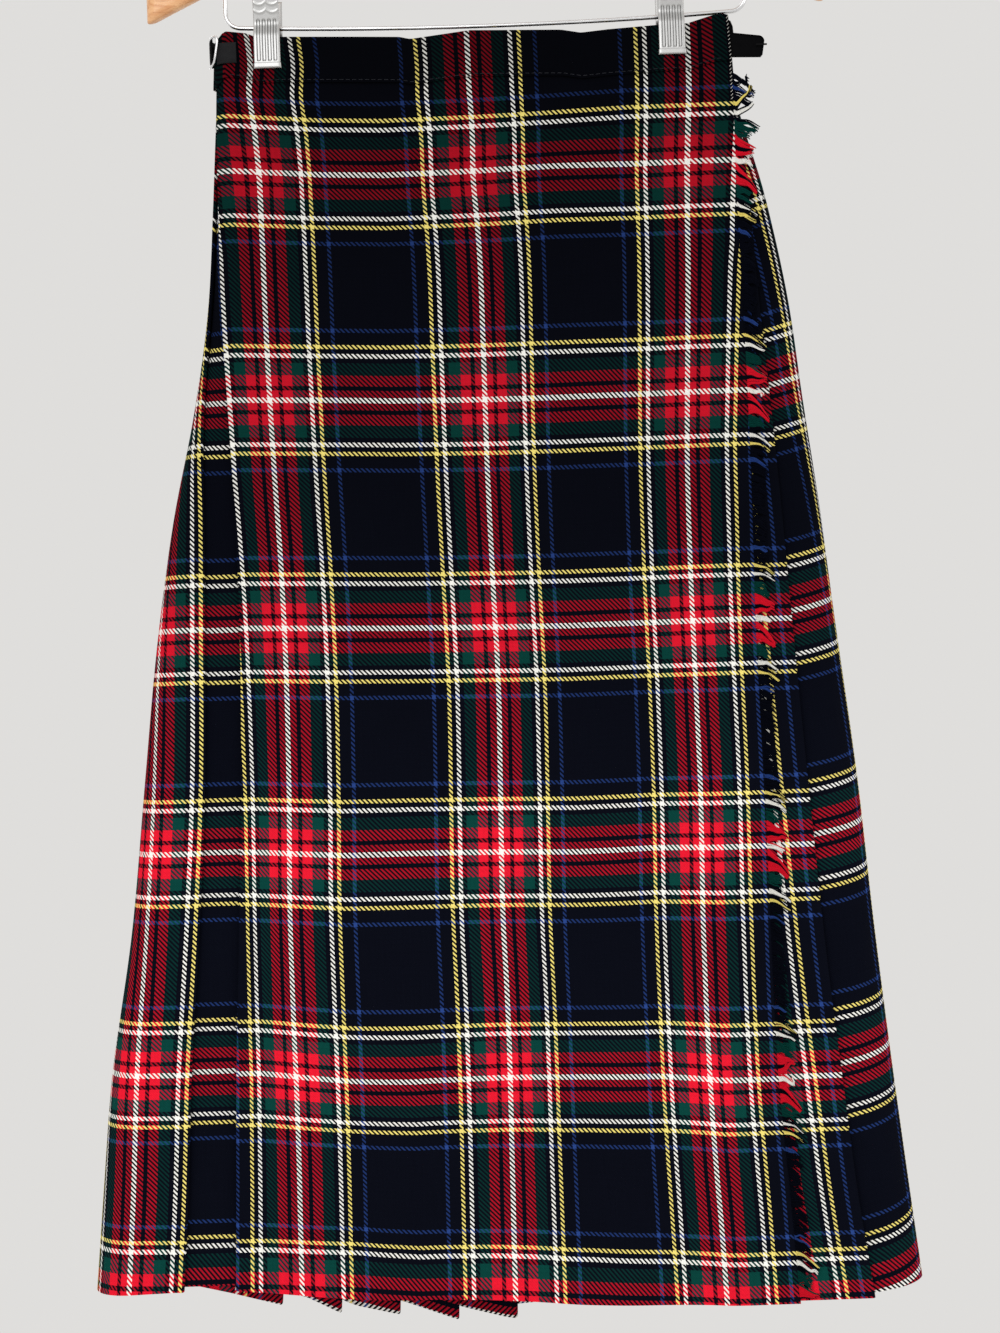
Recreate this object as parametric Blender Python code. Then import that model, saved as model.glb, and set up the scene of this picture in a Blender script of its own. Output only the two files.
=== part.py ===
"""A long kilted skirt in a black-ground tartan, hung flat by its waist from a wooden clip hanger.

Metres, +Z up. The front faces -Y, the wearer's left is +X, and the origin is the inner top of the hanger's
hook. The cloth is one wrap. It starts at the fringed edge at the front right, runs left over the front, folds
back, makes the first pleat at the left side, the knife pleats across the back and the last pleat at the
right side, and ends under the front. Each stretch is a mid line in plan, carried down the drop and thickened.

A place on the cloth is (s, n, drop). s runs along a rounded plan outline, clockwise seen from above and zero
at the middle of the front. n is the depth inside that outline. drop is the nominal distance below the waist.
"""

from collections import namedtuple

import bmesh
import bpy
import numpy as np

CLOTH = 0.0010
SEAM = 0.0003
WAIST_Z = -0.1930
DROP = 0.840
SETT = 0.141
PLEATS_BACK = 12

# One row for each height: the outline's side ends, its half depth, the pitch between layers, then where the
# front folds and edges lie. recess runs along the outline from the apron's fold to the first pleat's fold,
# and stripe_inset is how far in front of the right side the last pleat's yellow stripe lies.
Level = namedtuple(
    "Level",
    "drop left right half_depth pitch apron_fold recess fringe_edge under_fold stripe_inset",
)
LEVELS = (
    Level(0.000, -0.1776, 0.1622, 0.0095, 0.00145, -0.1768, 0.0060, 0.1580, 0.1594, 0.0200),
    Level(0.040, -0.1798, 0.1652, 0.0098, 0.00145, -0.1788, 0.0070, 0.1600, 0.1616, 0.0200),
    Level(0.114, -0.1839, 0.1830, 0.0130, 0.00150, -0.1795, 0.0090, 0.1605, 0.1680, 0.0190),
    Level(0.180, -0.1895, 0.1953, 0.0165, 0.00160, -0.1790, 0.0130, 0.1615, 0.1715, 0.0193),
    Level(0.250, -0.2017, 0.2034, 0.0195, 0.00170, -0.1765, 0.0180, 0.1625, 0.1765, 0.0183),
    Level(0.320, -0.2178, 0.2120, 0.0220, 0.00180, -0.1742, 0.0203, 0.1625, 0.1810, 0.0143),
    Level(0.400, -0.2313, 0.2202, 0.0240, 0.00190, -0.1732, 0.0233, 0.1620, 0.1855, 0.0098),
    Level(0.500, -0.2438, 0.2311, 0.0260, 0.00205, -0.1755, 0.0240, 0.1640, 0.1917, 0.0075),
    Level(0.600, -0.2558, 0.2392, 0.0270, 0.00220, -0.1803, 0.0262, 0.1645, 0.1985, 0.0070),
    Level(0.700, -0.2728, 0.2486, 0.0275, 0.00230, -0.1851, 0.0299, 0.1665, 0.2076, 0.0060),
    Level(0.770, -0.2804, 0.2559, 0.0275, 0.00240, -0.1875, 0.0315, 0.1712, 0.2145, 0.0060),
    Level(0.840, -0.2874, 0.2635, 0.0280, 0.00250, -0.1900, 0.0343, 0.1750, 0.2235, 0.0050),
)

# More rows of points where the apron's fold comes round from the side to the front.
EXTRA_ROWS = (0.077, 0.147, 0.215)

# Drop of the front's top edge and of the front hem, at places across the front.
FRONT_TOP = ((-0.178, 0.0068), (-0.157, 0.0080), (-0.150, 0.0106), (-0.135, 0.0106), (-0.057, 0.0134),
             (-0.050, 0.0150), (-0.011, 0.0104), (0.049, 0.0124), (0.062, 0.0148), (0.080, 0.0132),
             (0.112, 0.0114), (0.132, 0.0110), (0.150, 0.0058), (0.170, 0.0054))
FRONT_HEM = ((-0.285, 0.829), (-0.230, 0.826), (-0.190, 0.826), (-0.150, 0.829), (-0.086, 0.834),
             (-0.008, 0.839), (0.050, 0.842), (0.130, 0.847), (0.200, 0.847), (0.226, 0.847), (0.260, 0.840))
BACK_TOP = ((-0.180, 0.0100), (-0.120, 0.0145), (-0.011, 0.0265), (0.100, 0.0145), (0.170, 0.0100))
BACK_HEM = ((-0.285, 0.829), (-0.200, 0.829), (-0.150, 0.8305), (-0.118, 0.839), (-0.085, 0.839),
            (-0.047, 0.844), (-0.012, 0.845), (0.020, 0.835), (0.100, 0.833), (0.260, 0.833))

# How much lower a layer's top and hem lie for each metre of depth inside the outline. At the back's hem the
# pleats' inner folds hang lowest. Under the front the layers inside are a little shorter.
TOP_STEP = 0.8
TOP_STEP_MOST = 0.004
FRONT_HEM_STEP = -0.5
BACK_HEM_STEP = 1.6

# Soft folds down the front: middle at the waist and at the hem, half width, height at waist, half way, hem.
Wave = namedtuple("Wave", "x_waist x_hem half_width at_waist at_half at_hem")
FRONT_WAVES = (
    Wave(-0.085, -0.110, 0.050, 0.0005, 0.0060, 0.0080),
    Wave(-0.010, -0.020, 0.034, -0.0005, -0.0022, -0.0015),
    Wave(0.060, 0.050, 0.040, 0.0005, 0.0050, 0.0060),
    Wave(0.115, 0.118, 0.026, 0.0, -0.0012, -0.0015),
)

RETURN = 0.075
RETURN_SHARES = (0.0, 0.25, 0.48, 0.66, 0.78, 0.85, 0.90, 0.95, 1.0)
FRONT_CELLS = 12
LAST_TUCK_CELLS = 3
UNDER_END_CELL = 5
FOLD_TO_STRIPE = 0.0707
FIRST_BACK_FOLD = 0.004
FIRST_TUCK_AT_WAIST = 0.038
FIRST_TUCK_LEAST = 0.008
LAST_TUCK_END = 0.0015
LAST_TUCK_DEPTH = 1.2
BAND = 0.0305
BAND_BACK_START = 0.0016
BAND_BACK_TURN = 0.56

FRINGE_STRANDS = 150
FRINGE_LENGTH = 0.0145
FRINGE_STRIP = 0.0025
FRINGE_TOP = 0.0372
FRINGE_BOTTOM = 0.8366
FRINGE_HALF_STRAND = 0.17
FRINGE_DROOP = 0.0016

HANGER_HALF = 0.2230
HANGER_THICK = 0.0125
HANGER_RISE = 0.0880
TIP_HEIGHT = 0.0200
NECK_HEIGHT = 0.0380
BAR_RADIUS = 0.0015
BAR_HALF = 0.1714
BAR_BEND = 0.0100
HOOK_RADIUS = 0.0019
HOOK_BEND = 0.0219
WOOD_BEVEL = 0.0035
HOOK_HOLE = 0.0105
BAR_HOLE = 0.0093

CLIP_CENTRES = (("left", -0.1437), ("right", 0.1215))
CLIP_WIDTH = 0.0176
CLIP_GROOVES = (-0.0054, -0.0018, 0.0018, 0.0054)
GROOVE_HALF = 0.0008
GROOVE_FLOOR = 0.0003
GROOVE_DEPTH = 0.0006
JAW_HALF = 0.0008
LIP_HALF = 0.0011
LIP_HEIGHT = 0.0040
JAW_END = 0.0314
JAW_STRAIGHT = 0.0090
JAW_FLARE = 0.0055
JAW_TOP = 0.0200
CORE_DEPTH = 0.0088
CORE_HALF_WIDTH = 0.0055
CORE_BEVEL = 0.0012
CORE_BELOW = 0.0036
CORE_ABOVE = 0.0042

# The fastening at the left waist and the strap at the right, as drops below the waist and as thicknesses.
FASTENING_DROP = 0.018
TAB_DROPS = (0.0134, 0.0270)
END_DROPS = (0.0084, 0.0256)
TAB_THICK = 0.0016
STRAP_THICK = 0.0020
BUCKLE_DROPS = (0.0088, 0.0276)
BUCKLE_RADIUS = 0.0009
RIGHT_STRAP_DROPS = (0.0187, 0.0345)
RIGHT_STRAP_END = 0.1822
PRONG_RADIUS = 0.0006
STRAP_SEAT = 0.0004


def clear_scene():
    for obj in list(bpy.data.objects):
        bpy.data.objects.remove(obj, do_unlink=True)


def material(name, colour, roughness, metallic=0.0):
    mat = bpy.data.materials.new(name)
    mat.use_nodes = True
    shader = mat.node_tree.nodes["Principled BSDF"]
    shader.inputs["Base Color"].default_value = (*colour, 1.0)
    shader.inputs["Roughness"].default_value = roughness
    shader.inputs["Metallic"].default_value = metallic
    mat.diffuse_color = (*colour, 1.0)
    return mat


def add_mesh(name, points, faces, mat, smooth=True):
    """One object from points and faces, shaded smooth except at sharp edges."""
    mesh = bpy.data.meshes.new(name)
    mesh.from_pydata([tuple(p) for p in points], [], [tuple(f) for f in faces])
    mesh.validate()
    shape = bmesh.new()
    shape.from_mesh(mesh)
    bmesh.ops.recalc_face_normals(shape, faces=shape.faces)
    shape.to_mesh(mesh)
    shape.free()
    if smooth:
        mesh.shade_smooth()
        mesh.set_sharp_from_angle(angle=np.radians(40))
    mesh.materials.append(mat)
    obj = bpy.data.objects.new(name, mesh)
    bpy.context.collection.objects.link(obj)
    return obj


def smoothstep(t):
    t = np.clip(t, 0.0, 1.0)
    return t * t * (3.0 - 2.0 * t)


def across(table, x):
    """Value at x of a table of (x, value) rows, joined by straight lines."""
    rows = np.array(table)
    return np.interp(x, rows[:, 0], rows[:, 1])


class Outline:
    """The plan at one drop: straight front and back, half circles at the sides, soft folds in front."""

    def __init__(self, drop):
        drops = [row.drop for row in LEVELS]
        for field in Level._fields[1:]:
            setattr(self, field, float(np.interp(drop, drops, [getattr(row, field) for row in LEVELS])))
        self.drop = drop
        self.x0 = self.left + self.half_depth
        self.x1 = self.right - self.half_depth
        self.turn = np.pi * self.half_depth
        self.s_left_back = -self.x0 + self.turn
        self.s_right_back = self.s_left_back + self.x1 - self.x0
        self.around = 2.0 * (self.x1 - self.x0) + 2.0 * self.turn

    def s_left_front(self, x):
        """s of the front or left side point that lies at x."""
        angle = np.arcsin(np.clip((self.x0 - x) / self.half_depth, 0.0, 1.0))
        return -max(x, self.x0) + self.half_depth * angle

    def s_right_front(self, x):
        angle = np.arcsin(np.clip((x - self.x1) / self.half_depth, 0.0, 1.0))
        return -min(x, self.x1) - self.half_depth * angle

    def plan(self, s, n):
        """(x, y) of places along and inside the outline, before the front's soft folds."""
        s = (np.asarray(s, float) + self.x1 + self.turn / 2.0) % self.around - self.x1 - self.turn / 2.0
        depth = self.half_depth - np.asarray(n, float)
        right = np.clip((-s - self.x1) / self.half_depth, 0.0, np.pi)
        left = np.clip((s + self.x0) / self.half_depth, 0.0, np.pi)
        over = np.clip(s - self.s_left_back, 0.0, self.x1 - self.x0)
        late = np.clip((s - self.s_right_back) / self.half_depth, 0.0, np.pi)
        front = np.clip(-s, self.x0, self.x1)
        turned_left = left > 0.0
        turned_right = right > 0.0
        x = np.where(turned_left, self.x0 + over - depth * np.sin(left) + depth * np.sin(late), front)
        y = np.where(turned_left, -depth * np.cos(left), -depth)
        y = np.where(late > 0.0, depth * np.cos(late), y)
        x = np.where(turned_right, self.x1 + depth * np.sin(right), x)
        y = np.where(turned_right, -depth * np.cos(right), y)
        return x, y

    def soft_fold(self, x):
        """How far the front stands out at x."""
        t = self.drop / DROP
        out = np.zeros_like(x)
        for wave in FRONT_WAVES:
            middle = wave.x_waist + (wave.x_hem - wave.x_waist) * t
            height = np.interp(t, (0.0, 0.5, 1.0), (wave.at_waist, wave.at_half, wave.at_hem))
            out += height * np.exp(-(((x - middle) / wave.half_width) ** 2))
        return out

    def place(self, s, n):
        """Points in space of places along and inside the outline."""
        x, y = self.plan(s, n)
        backness = smoothstep((y + self.half_depth * 0.25) / (self.half_depth * 0.75))
        y = y - self.soft_fold(x) * smoothstep((-y) / (self.half_depth * 0.8))
        share = self.drop / DROP
        top = across(FRONT_TOP, x) * (1 - backness) + across(BACK_TOP, x) * backness
        inside = np.maximum(n, 0.0)
        top = top + np.minimum(TOP_STEP * inside, TOP_STEP_MOST)
        front_hem = across(FRONT_HEM, x) + FRONT_HEM_STEP * inside
        back_hem = across(BACK_HEM, x) + BACK_HEM_STEP * inside
        hem = front_hem * (1 - backness) + back_hem * backness
        return np.stack([x, y, WAIST_Z - top - share * (hem - top)], axis=-1)


def wall(name, mid_lines, mat, thickness=CLOTH):
    """A closed wall round mid lines, an array of rows, points, xyz. Each point moves half the thickness both
    ways along the plan normal of the line, lengthened at corners so that both legs keep their thickness."""
    step = np.diff(mid_lines[..., :2], axis=1)
    step /= np.linalg.norm(step, axis=2, keepdims=True)
    before = np.concatenate([step[:, :1], step], axis=1)
    after = np.concatenate([step, step[:, -1:]], axis=1)
    normal = before + after
    normal /= np.maximum(np.linalg.norm(normal, axis=2, keepdims=True), 1e-9)
    half_turn = np.clip(np.sum(normal * before, axis=2, keepdims=True), 0.66, 1.0)
    normal = np.stack([-normal[..., 1], normal[..., 0]], axis=-1) / half_turn
    shift = np.zeros_like(mid_lines)
    shift[..., :2] = normal * thickness / 2.0
    rows, count = mid_lines.shape[:2]
    ring = np.concatenate([mid_lines + shift, (mid_lines - shift)[:, ::-1]], axis=1)
    return ring_solid(name, ring, mat, count)


def ring_solid(name, ring, mat, count):
    """Closed solid from rows of rings. The two caps run between the ring's first half and its second half."""
    rows, around = ring.shape[:2]
    faces = []
    for r in range(rows - 1):
        for i in range(around):
            j = (i + 1) % around
            faces.append((r * around + i, r * around + j, (r + 1) * around + j, (r + 1) * around + i))
    for r in (0, rows - 1):
        for i in range(count - 1):
            k = around - 1 - i
            faces.append((r * around + i, r * around + i + 1, r * around + k - 1, r * around + k))
    return add_mesh(name, ring.reshape(-1, 3), faces, mat)


def run(s_values, n_from, n_to=None):
    """(s, n) places at given s, with the depth going evenly from n_from to n_to."""
    n_to = n_from if n_to is None else n_to
    s = np.asarray(s_values, float)
    length = s[-1] - s[0]
    share = (s - s[0]) / length if length else np.zeros_like(s)
    return np.stack([s, n_from + (n_to - n_from) * share], axis=1)


def fold_places(o):
    """s of the folds at one height: apron, first pleat, back pleats with the last pleat, under apron."""
    fold = o.s_left_front(o.apron_fold)
    first = fold + o.recess
    right_side = o.s_right_back + o.turn / 2.0
    last = right_side - FOLD_TO_STRIPE + o.stripe_inset
    under = o.around + o.s_right_front(o.under_fold)
    back = np.linspace(o.s_left_back + FIRST_BACK_FOLD, last, PLEATS_BACK + 1)
    return fold, first, back, under


def front_steps(o):
    """Shared s values of the layers over the front: right of the return's end, and from there to the fold."""
    edge = o.s_right_front(o.fringe_edge)
    fold, _, _, _ = fold_places(o)
    wide = np.linspace(edge, fold - RETURN, FRONT_CELLS + 1)
    return wide, fold - RETURN * (1.0 - np.array(RETURN_SHARES))


def over_apron_section(o):
    wide, narrow = front_steps(o)
    return np.concatenate([run(wide[:-1], 0.0), run(narrow, 0.0), run(narrow[::-1], o.pitch)])


def pleated_back_section(o):
    """The run from under the apron's return, round the left side, over the back and round the right side."""
    p = o.pitch
    fold, first, back, under = fold_places(o)
    wide, narrow = front_steps(o)
    width = back[1] - back[0]
    slope = 2.0 * p / width
    inner = first + max(FIRST_TUCK_LEAST, FIRST_TUCK_AT_WAIST - o.recess)
    hidden = np.linspace(first, inner, 11)
    deeper = 2.0 * p * np.clip((hidden - first) / (back[0] - first), 0.0, 1.0)
    deeper += slope * np.maximum(hidden - back[0], 0.0)
    parts = [run(narrow, 2 * p), np.array([(fold + o.recess / 2.0, 2 * p)])]
    parts.append(np.stack([hidden, 2 * p + deeper], axis=1))
    parts.append(np.stack([hidden, p + deeper], axis=1)[::-1])
    parts.append(run(np.linspace(first, back[0], 10), 0.0, 2 * p))
    reach = back[0] + (SETT - (back[0] - first)) / 2.0
    depth = slope * (reach - back[0])
    parts.append(np.array([(reach, 2 * p + depth), (reach, p + depth), (back[0], p)]))
    last_turn = o.s_right_back - LAST_TUCK_END
    for k in range(PLEATS_BACK):
        tuck = min(back[k + 1] + (SETT - width) / 2.0, last_turn)
        depth = slope * (tuck - back[k])
        parts.append(np.array([(back[k], 0.0), (tuck, depth), (tuck, depth - p), (back[k + 1], p)]))
    parts.append(np.array([(back[-1], 0.0)]))
    parts.append(run(np.linspace(o.s_right_back, under, 11), LAST_TUCK_DEPTH * p, 3 * p))
    parts.append(run(o.around + wide[:LAST_TUCK_CELLS + 1], 3 * p))
    return np.concatenate(parts)


def under_apron_section(o):
    """From the last pleat's inner fold to the under fold, then left under the over apron."""
    p = o.pitch
    _, _, _, under = fold_places(o)
    wide, narrow = front_steps(o)
    wide = wide + o.around
    tuck = wide[LAST_TUCK_CELLS::-1]
    side = np.linspace(wide[0], under, 3)[1:]
    parts = [run(tuck, 2 * p), run(side, 2 * p), run(side[::-1], p), run(wide[:-1], p)]
    parts.append(run(narrow[:UNDER_END_CELL] + o.around, 3 * p))
    return np.concatenate(parts)


def cloth_wall(name, section, mat, drops):
    outlines = [Outline(drop) for drop in drops]
    lines = []
    for outline in outlines:
        places = section(outline)
        lines.append(outline.place(places[:, 0], places[:, 1]))
    return wall(name, np.array(lines), mat)


def band_front_section(o):
    wide, narrow = front_steps(o)
    return np.concatenate([run(wide[:-1], -o.pitch), run(narrow, -o.pitch)])


def band_back_section(o):
    fold, _, _, _ = fold_places(o)
    left = np.linspace(fold + BAND_BACK_START, o.s_left_back, 8)
    right = np.linspace(o.s_right_back, o.s_right_back + o.turn * BAND_BACK_TURN, 8)
    middle = np.linspace(left[-1], right[0], 7)[1:-1]
    return run(np.concatenate([left, middle, right]), -o.pitch)


def make_fringe(mat):
    """A narrow strip beside the free edge with short strands standing out of it, in one closed mesh."""
    number = np.arange(FRINGE_STRANDS)[:, None] + 0.5
    sides = (number + np.array([-FRINGE_HALF_STRAND, FRINGE_HALF_STRAND])).ravel() / FRINGE_STRANDS
    drops = FRINGE_TOP + (FRINGE_BOTTOM - FRINGE_TOP) * np.concatenate([[0.0], sides, [1.0]])
    strip = []
    strands = []
    for row, drop in enumerate(drops):
        o = Outline(drop)
        edge = o.s_right_front(o.fringe_edge)
        s = np.array([edge - SEAM, edge - SEAM - FRINGE_STRIP])
        inner, outer = o.place(s, np.array([0.0, 0.0]))
        outward = outer - inner
        outward[2] = 0.0
        outward /= np.linalg.norm(outward)
        side = np.array([outward[1], -outward[0], 0.0])
        half = side * CLOTH / 2.0
        strip.append([inner + half, outer + half, outer - half, inner - half])
        strand = (row - 1) // 2
        reach = FRINGE_LENGTH * (1.0 + 0.14 * np.sin(strand * 2.4))
        droop = np.array([0.0, 0.0, -FRINGE_DROOP * (1.0 + np.sin(strand * 1.7))])
        tip = outer + outward * reach + droop
        strands.append([tip + half * 0.6, tip - half * 0.6])
    points = [p for ring in strip for p in ring]
    faces = [(0, 1, 2, 3), tuple(4 * (len(drops) - 1) + i for i in range(4))]
    for row in range(len(drops) - 1):
        a = 4 * row
        b = a + 4
        is_strand = row % 2 == 1
        for i in range(4):
            j = (i + 1) % 4
            if is_strand and i == 1:
                continue
            faces.append((a + i, a + j, b + j, b + i))
        if is_strand:
            t = len(points)
            points += strands[row] + strands[row + 1]
            tip_a = (t, t + 1)
            tip_b = (t + 2, t + 3)
            faces.append((a + 1, a + 2, tip_a[1], tip_a[0]))
            faces.append((b + 1, b + 2, tip_b[1], tip_b[0]))
            faces.append((a + 1, b + 1, tip_b[0], tip_a[0]))
            faces.append((a + 2, b + 2, tip_b[1], tip_a[1]))
            faces.append((tip_a[0], tip_a[1], tip_b[1], tip_b[0]))
    return add_mesh("apron_fringe", np.array(points), faces, mat, smooth=False)


def strap_solid(name, outline, s_values, n, drops, thick, mat):
    """A strap that follows the outline through the given s values, between two drops."""
    line = outline.place(s_values, np.full(len(s_values), n))
    rows = np.array([line, line])
    rows[0, :, 2] = WAIST_Z - drops[1]
    rows[1, :, 2] = WAIST_Z - drops[0]
    return wall(name, rows, mat, thick)


def wire(name, points, radius, mat, closed=False):
    curve = bpy.data.curves.new(name, "CURVE")
    curve.dimensions = "3D"
    curve.bevel_depth = radius
    curve.bevel_resolution = 1
    curve.use_fill_caps = True
    spline = curve.splines.new("POLY")
    spline.points.add(len(points) - 1)
    for slot, point in zip(spline.points, points):
        slot.co = (*point, 1.0)
    spline.use_cyclic_u = closed
    spline.use_smooth = True
    curve.materials.append(mat)
    obj = bpy.data.objects.new(name, curve)
    bpy.context.collection.objects.link(obj)
    return obj


def bar_drop(x):
    """The bar sags a little between its legs."""
    return 0.0005 + 0.0045 * (1.0 - (x / BAR_HALF) ** 2)


def wood_lower(x):
    return WAIST_Z + 0.0023 + HANGER_RISE * (1.0 - np.abs(x / HANGER_HALF) ** 1.25)


def make_bar(mat):
    """A bar with its two ends turned up into the wood."""
    xs = np.linspace(-BAR_HALF + BAR_BEND, BAR_HALF - BAR_BEND, 13)
    run = [(x, 0.0, WAIST_Z - bar_drop(x)) for x in xs]
    bend_z = run[0][2] + BAR_BEND
    turns = np.radians((0, 30, 60, 90))[1:]
    right = [(xs[-1] + BAR_BEND * np.sin(a), 0.0, bend_z - BAR_BEND * np.cos(a)) for a in turns]
    top = wood_lower(BAR_HALF) + 0.009
    right.append((BAR_HALF, 0.0, top))
    left = [(-x, y, z) for x, y, z in reversed(right)]
    return wire("hanger_bar", left + run + right, BAR_RADIUS, mat)


def make_hook(mat):
    """A straight stem, a soft bend to the right, then three quarters of a circle over the top to the left."""
    centre_z = HOOK_RADIUS - HOOK_BEND
    start = np.radians(-42)
    angles = np.linspace(start, np.radians(205), 17)
    circle = [(HOOK_BEND * np.cos(a), 0.0, centre_z + HOOK_BEND * np.sin(a)) for a in angles]
    foot = wood_lower(0.0) + NECK_HEIGHT - 0.010
    base = np.array([0.0, centre_z - HOOK_BEND - 0.014])
    joint = np.array([circle[0][0], circle[0][2]])
    leave = np.array([0.0, 0.030])
    arrive = np.array([-np.sin(start), np.cos(start)]) * 0.024
    bend = []
    for t in np.linspace(0.0, 1.0, 8)[:-1]:
        h = (2 * t**3 - 3 * t**2 + 1, t**3 - 2 * t**2 + t, -2 * t**3 + 3 * t**2, t**3 - t**2)
        x, z = h[0] * base + h[1] * leave + h[2] * joint + h[3] * arrive
        bend.append((x, 0.0, z))
    stem = [(0.0, 0.0, foot), (0.0, 0.0, (foot + base[1]) / 2.0)]
    return wire("hanger_hook", stem + bend + circle, HOOK_RADIUS, mat)


def make_wood(mat):
    """Two arms in one piece, an eight-sided section along a rising curve, drilled for the bar and hook."""
    xs = HANGER_HALF * np.sin(np.linspace(-np.pi / 2, np.pi / 2, 25))
    rows = []
    for x in xs:
        share = 1.0 - abs(x / HANGER_HALF)
        low = wood_lower(x)
        high = low + TIP_HEIGHT + (NECK_HEIGHT - TIP_HEIGHT) * smoothstep(share * 1.15)
        half = HANGER_THICK / 2.0
        edge = half - WOOD_BEVEL
        rows.append([
            (x, -edge, low), (x, -half, low + WOOD_BEVEL), (x, -half, high - WOOD_BEVEL), (x, -edge, high),
            (x, edge, high), (x, half, high - WOOD_BEVEL), (x, half, low + WOOD_BEVEL), (x, edge, low),
        ])
    rows = np.array(rows)
    count = len(xs)
    faces = [tuple(range(8)), tuple((count - 1) * 8 + i for i in range(8))]
    for r in range(count - 1):
        for i in range(8):
            j = (i + 1) % 8
            faces.append((r * 8 + i, r * 8 + j, (r + 1) * 8 + j, (r + 1) * 8 + i))
    wood = add_mesh("hanger_wood", rows.reshape(-1, 3), faces, mat)
    neck = wood_lower(0.0) + NECK_HEIGHT
    drill(wood, "hook_hole", (0.0, 0.0, neck), HOOK_RADIUS + SEAM, 2.0 * HOOK_HOLE)
    for name, x in (("bar_hole_left", -BAR_HALF), ("bar_hole_right", BAR_HALF)):
        drill(wood, name, (x, 0.0, wood_lower(BAR_HALF)), BAR_RADIUS + SEAM, 2.0 * BAR_HOLE)
    return wood


def drill(obj, name, centre, radius, depth, axis="Z"):
    """A Boolean that cuts a round hole with the given length, centred on a point."""
    shape = bmesh.new()
    bmesh.ops.create_cone(shape, cap_ends=True, segments=12, radius1=radius, radius2=radius, depth=depth)
    if axis == "X":
        turn = np.array([[0, 0, 1], [0, 1, 0], [-1, 0, 0]])
        for vert in shape.verts:
            vert.co = turn @ np.array(vert.co)
    mesh = bpy.data.meshes.new(name)
    shape.to_mesh(mesh)
    shape.free()
    cutter = bpy.data.objects.new(name, mesh)
    cutter.location = centre
    cutter.hide_render = True
    cutter.display_type = "WIRE"
    bpy.context.collection.objects.link(cutter)
    cut = obj.modifiers.new(name, "BOOLEAN")
    cut.operation = "DIFFERENCE"
    cut.solver = "EXACT"
    cut.object = cutter


def make_clip(side, x, steel, plastic):
    """Two ribbed jaws that lean on a core round the bar. The waist lies between their lower ends."""
    waist = Outline(BAND)
    proud = float(np.max(waist.soft_fold(x + np.array([-CLIP_WIDTH, 0.0, CLIP_WIDTH]) / 2.0)))
    bar_z = WAIST_Z - bar_drop(x)
    for facing, sign, stands in (("front", -1.0, proud), ("back", 1.0, 0.0)):
        face = waist.half_depth + waist.pitch + CLOTH / 2.0 + SEAM + stands
        profile = (
            (face + LIP_HALF, WAIST_Z - JAW_END, LIP_HALF),
            (face + JAW_HALF, WAIST_Z - JAW_END + LIP_HEIGHT, JAW_HALF),
            (face + JAW_HALF, WAIST_Z - JAW_STRAIGHT, JAW_HALF),
            (CORE_DEPTH + SEAM + JAW_HALF, bar_z + SEAM, JAW_HALF),
            (CORE_DEPTH + JAW_FLARE, WAIST_Z + JAW_TOP, JAW_HALF),
        )
        stations = [(-CLIP_WIDTH / 2.0, 0.0)]
        for groove in CLIP_GROOVES:
            stations += [(groove - GROOVE_HALF, 0.0), (groove - GROOVE_FLOOR, GROOVE_DEPTH)]
            stations += [(groove + GROOVE_FLOOR, GROOVE_DEPTH), (groove + GROOVE_HALF, 0.0)]
        stations.append((CLIP_WIDTH / 2.0, 0.0))
        rows = []
        for depth, z, half in profile:
            grooved = 0.0 if half == LIP_HALF else 1.0
            outer = [(x + dx, sign * (depth + half - cut * grooved), z) for dx, cut in stations]
            inner = [(x + dx, sign * (depth - half), z) for dx, _ in reversed(stations)]
            rows.append(outer + inner)
        ring_solid(f"clip_{side}_{facing}", np.array(rows), plastic, len(stations))
    low = bar_z - CORE_BELOW
    high = bar_z + CORE_ABOVE
    middle = (low + high) / 2.0
    edge = CORE_DEPTH - CORE_BEVEL
    points = []
    for end in (x - CORE_HALF_WIDTH, x + CORE_HALF_WIDTH):
        points += [(end, -edge, low), (end, edge, low), (end, CORE_DEPTH, middle)]
        points += [(end, edge, high), (end, -edge, high), (end, -CORE_DEPTH, middle)]
    faces = [tuple(range(6)), tuple(range(6, 12))]
    faces += [(i, (i + 1) % 6, 6 + (i + 1) % 6, 6 + i) for i in range(6)]
    block = add_mesh(f"clip_{side}_core", points, faces, steel, smooth=False)
    drill(block, f"clip_{side}_hole", (x, 0.0, bar_z), BAR_RADIUS + SEAM, 0.020, axis="X")


def make_fastenings(leather, steel):
    """The tab, the strap's end and the buckle at the left waist, one over the other outside the band."""
    o = Outline(FASTENING_DROP)
    fold, _, _, _ = fold_places(o)
    outside = -o.pitch - CLOTH / 2.0 - SEAM
    tab_s = np.linspace(fold - 0.0160, fold - 0.0030, 5)
    strap_solid("left_tab", o, tab_s, outside - TAB_THICK / 2.0, TAB_DROPS, TAB_THICK, leather)
    end_s = np.linspace(fold + 0.0030, fold + 0.0150, 7)
    strap_solid("left_strap_end", o, end_s, outside - 0.0013, END_DROPS, STRAP_THICK, leather)
    top, bottom = BUCKLE_DROPS
    middle = (top + bottom) / 2.0
    corners = np.array((
        (fold - 0.0050, top), (fold + 0.0022, top + 0.0016), (fold + 0.0040, middle),
        (fold + 0.0022, bottom - 0.0016), (fold - 0.0050, bottom), (fold - 0.0062, middle),
    ))
    loop = o.place(corners[:, 0], np.full(len(corners), outside - 0.0032))
    loop[:, 2] = WAIST_Z - corners[:, 1]
    wire("left_buckle", loop, BUCKLE_RADIUS, steel, closed=True)


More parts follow.
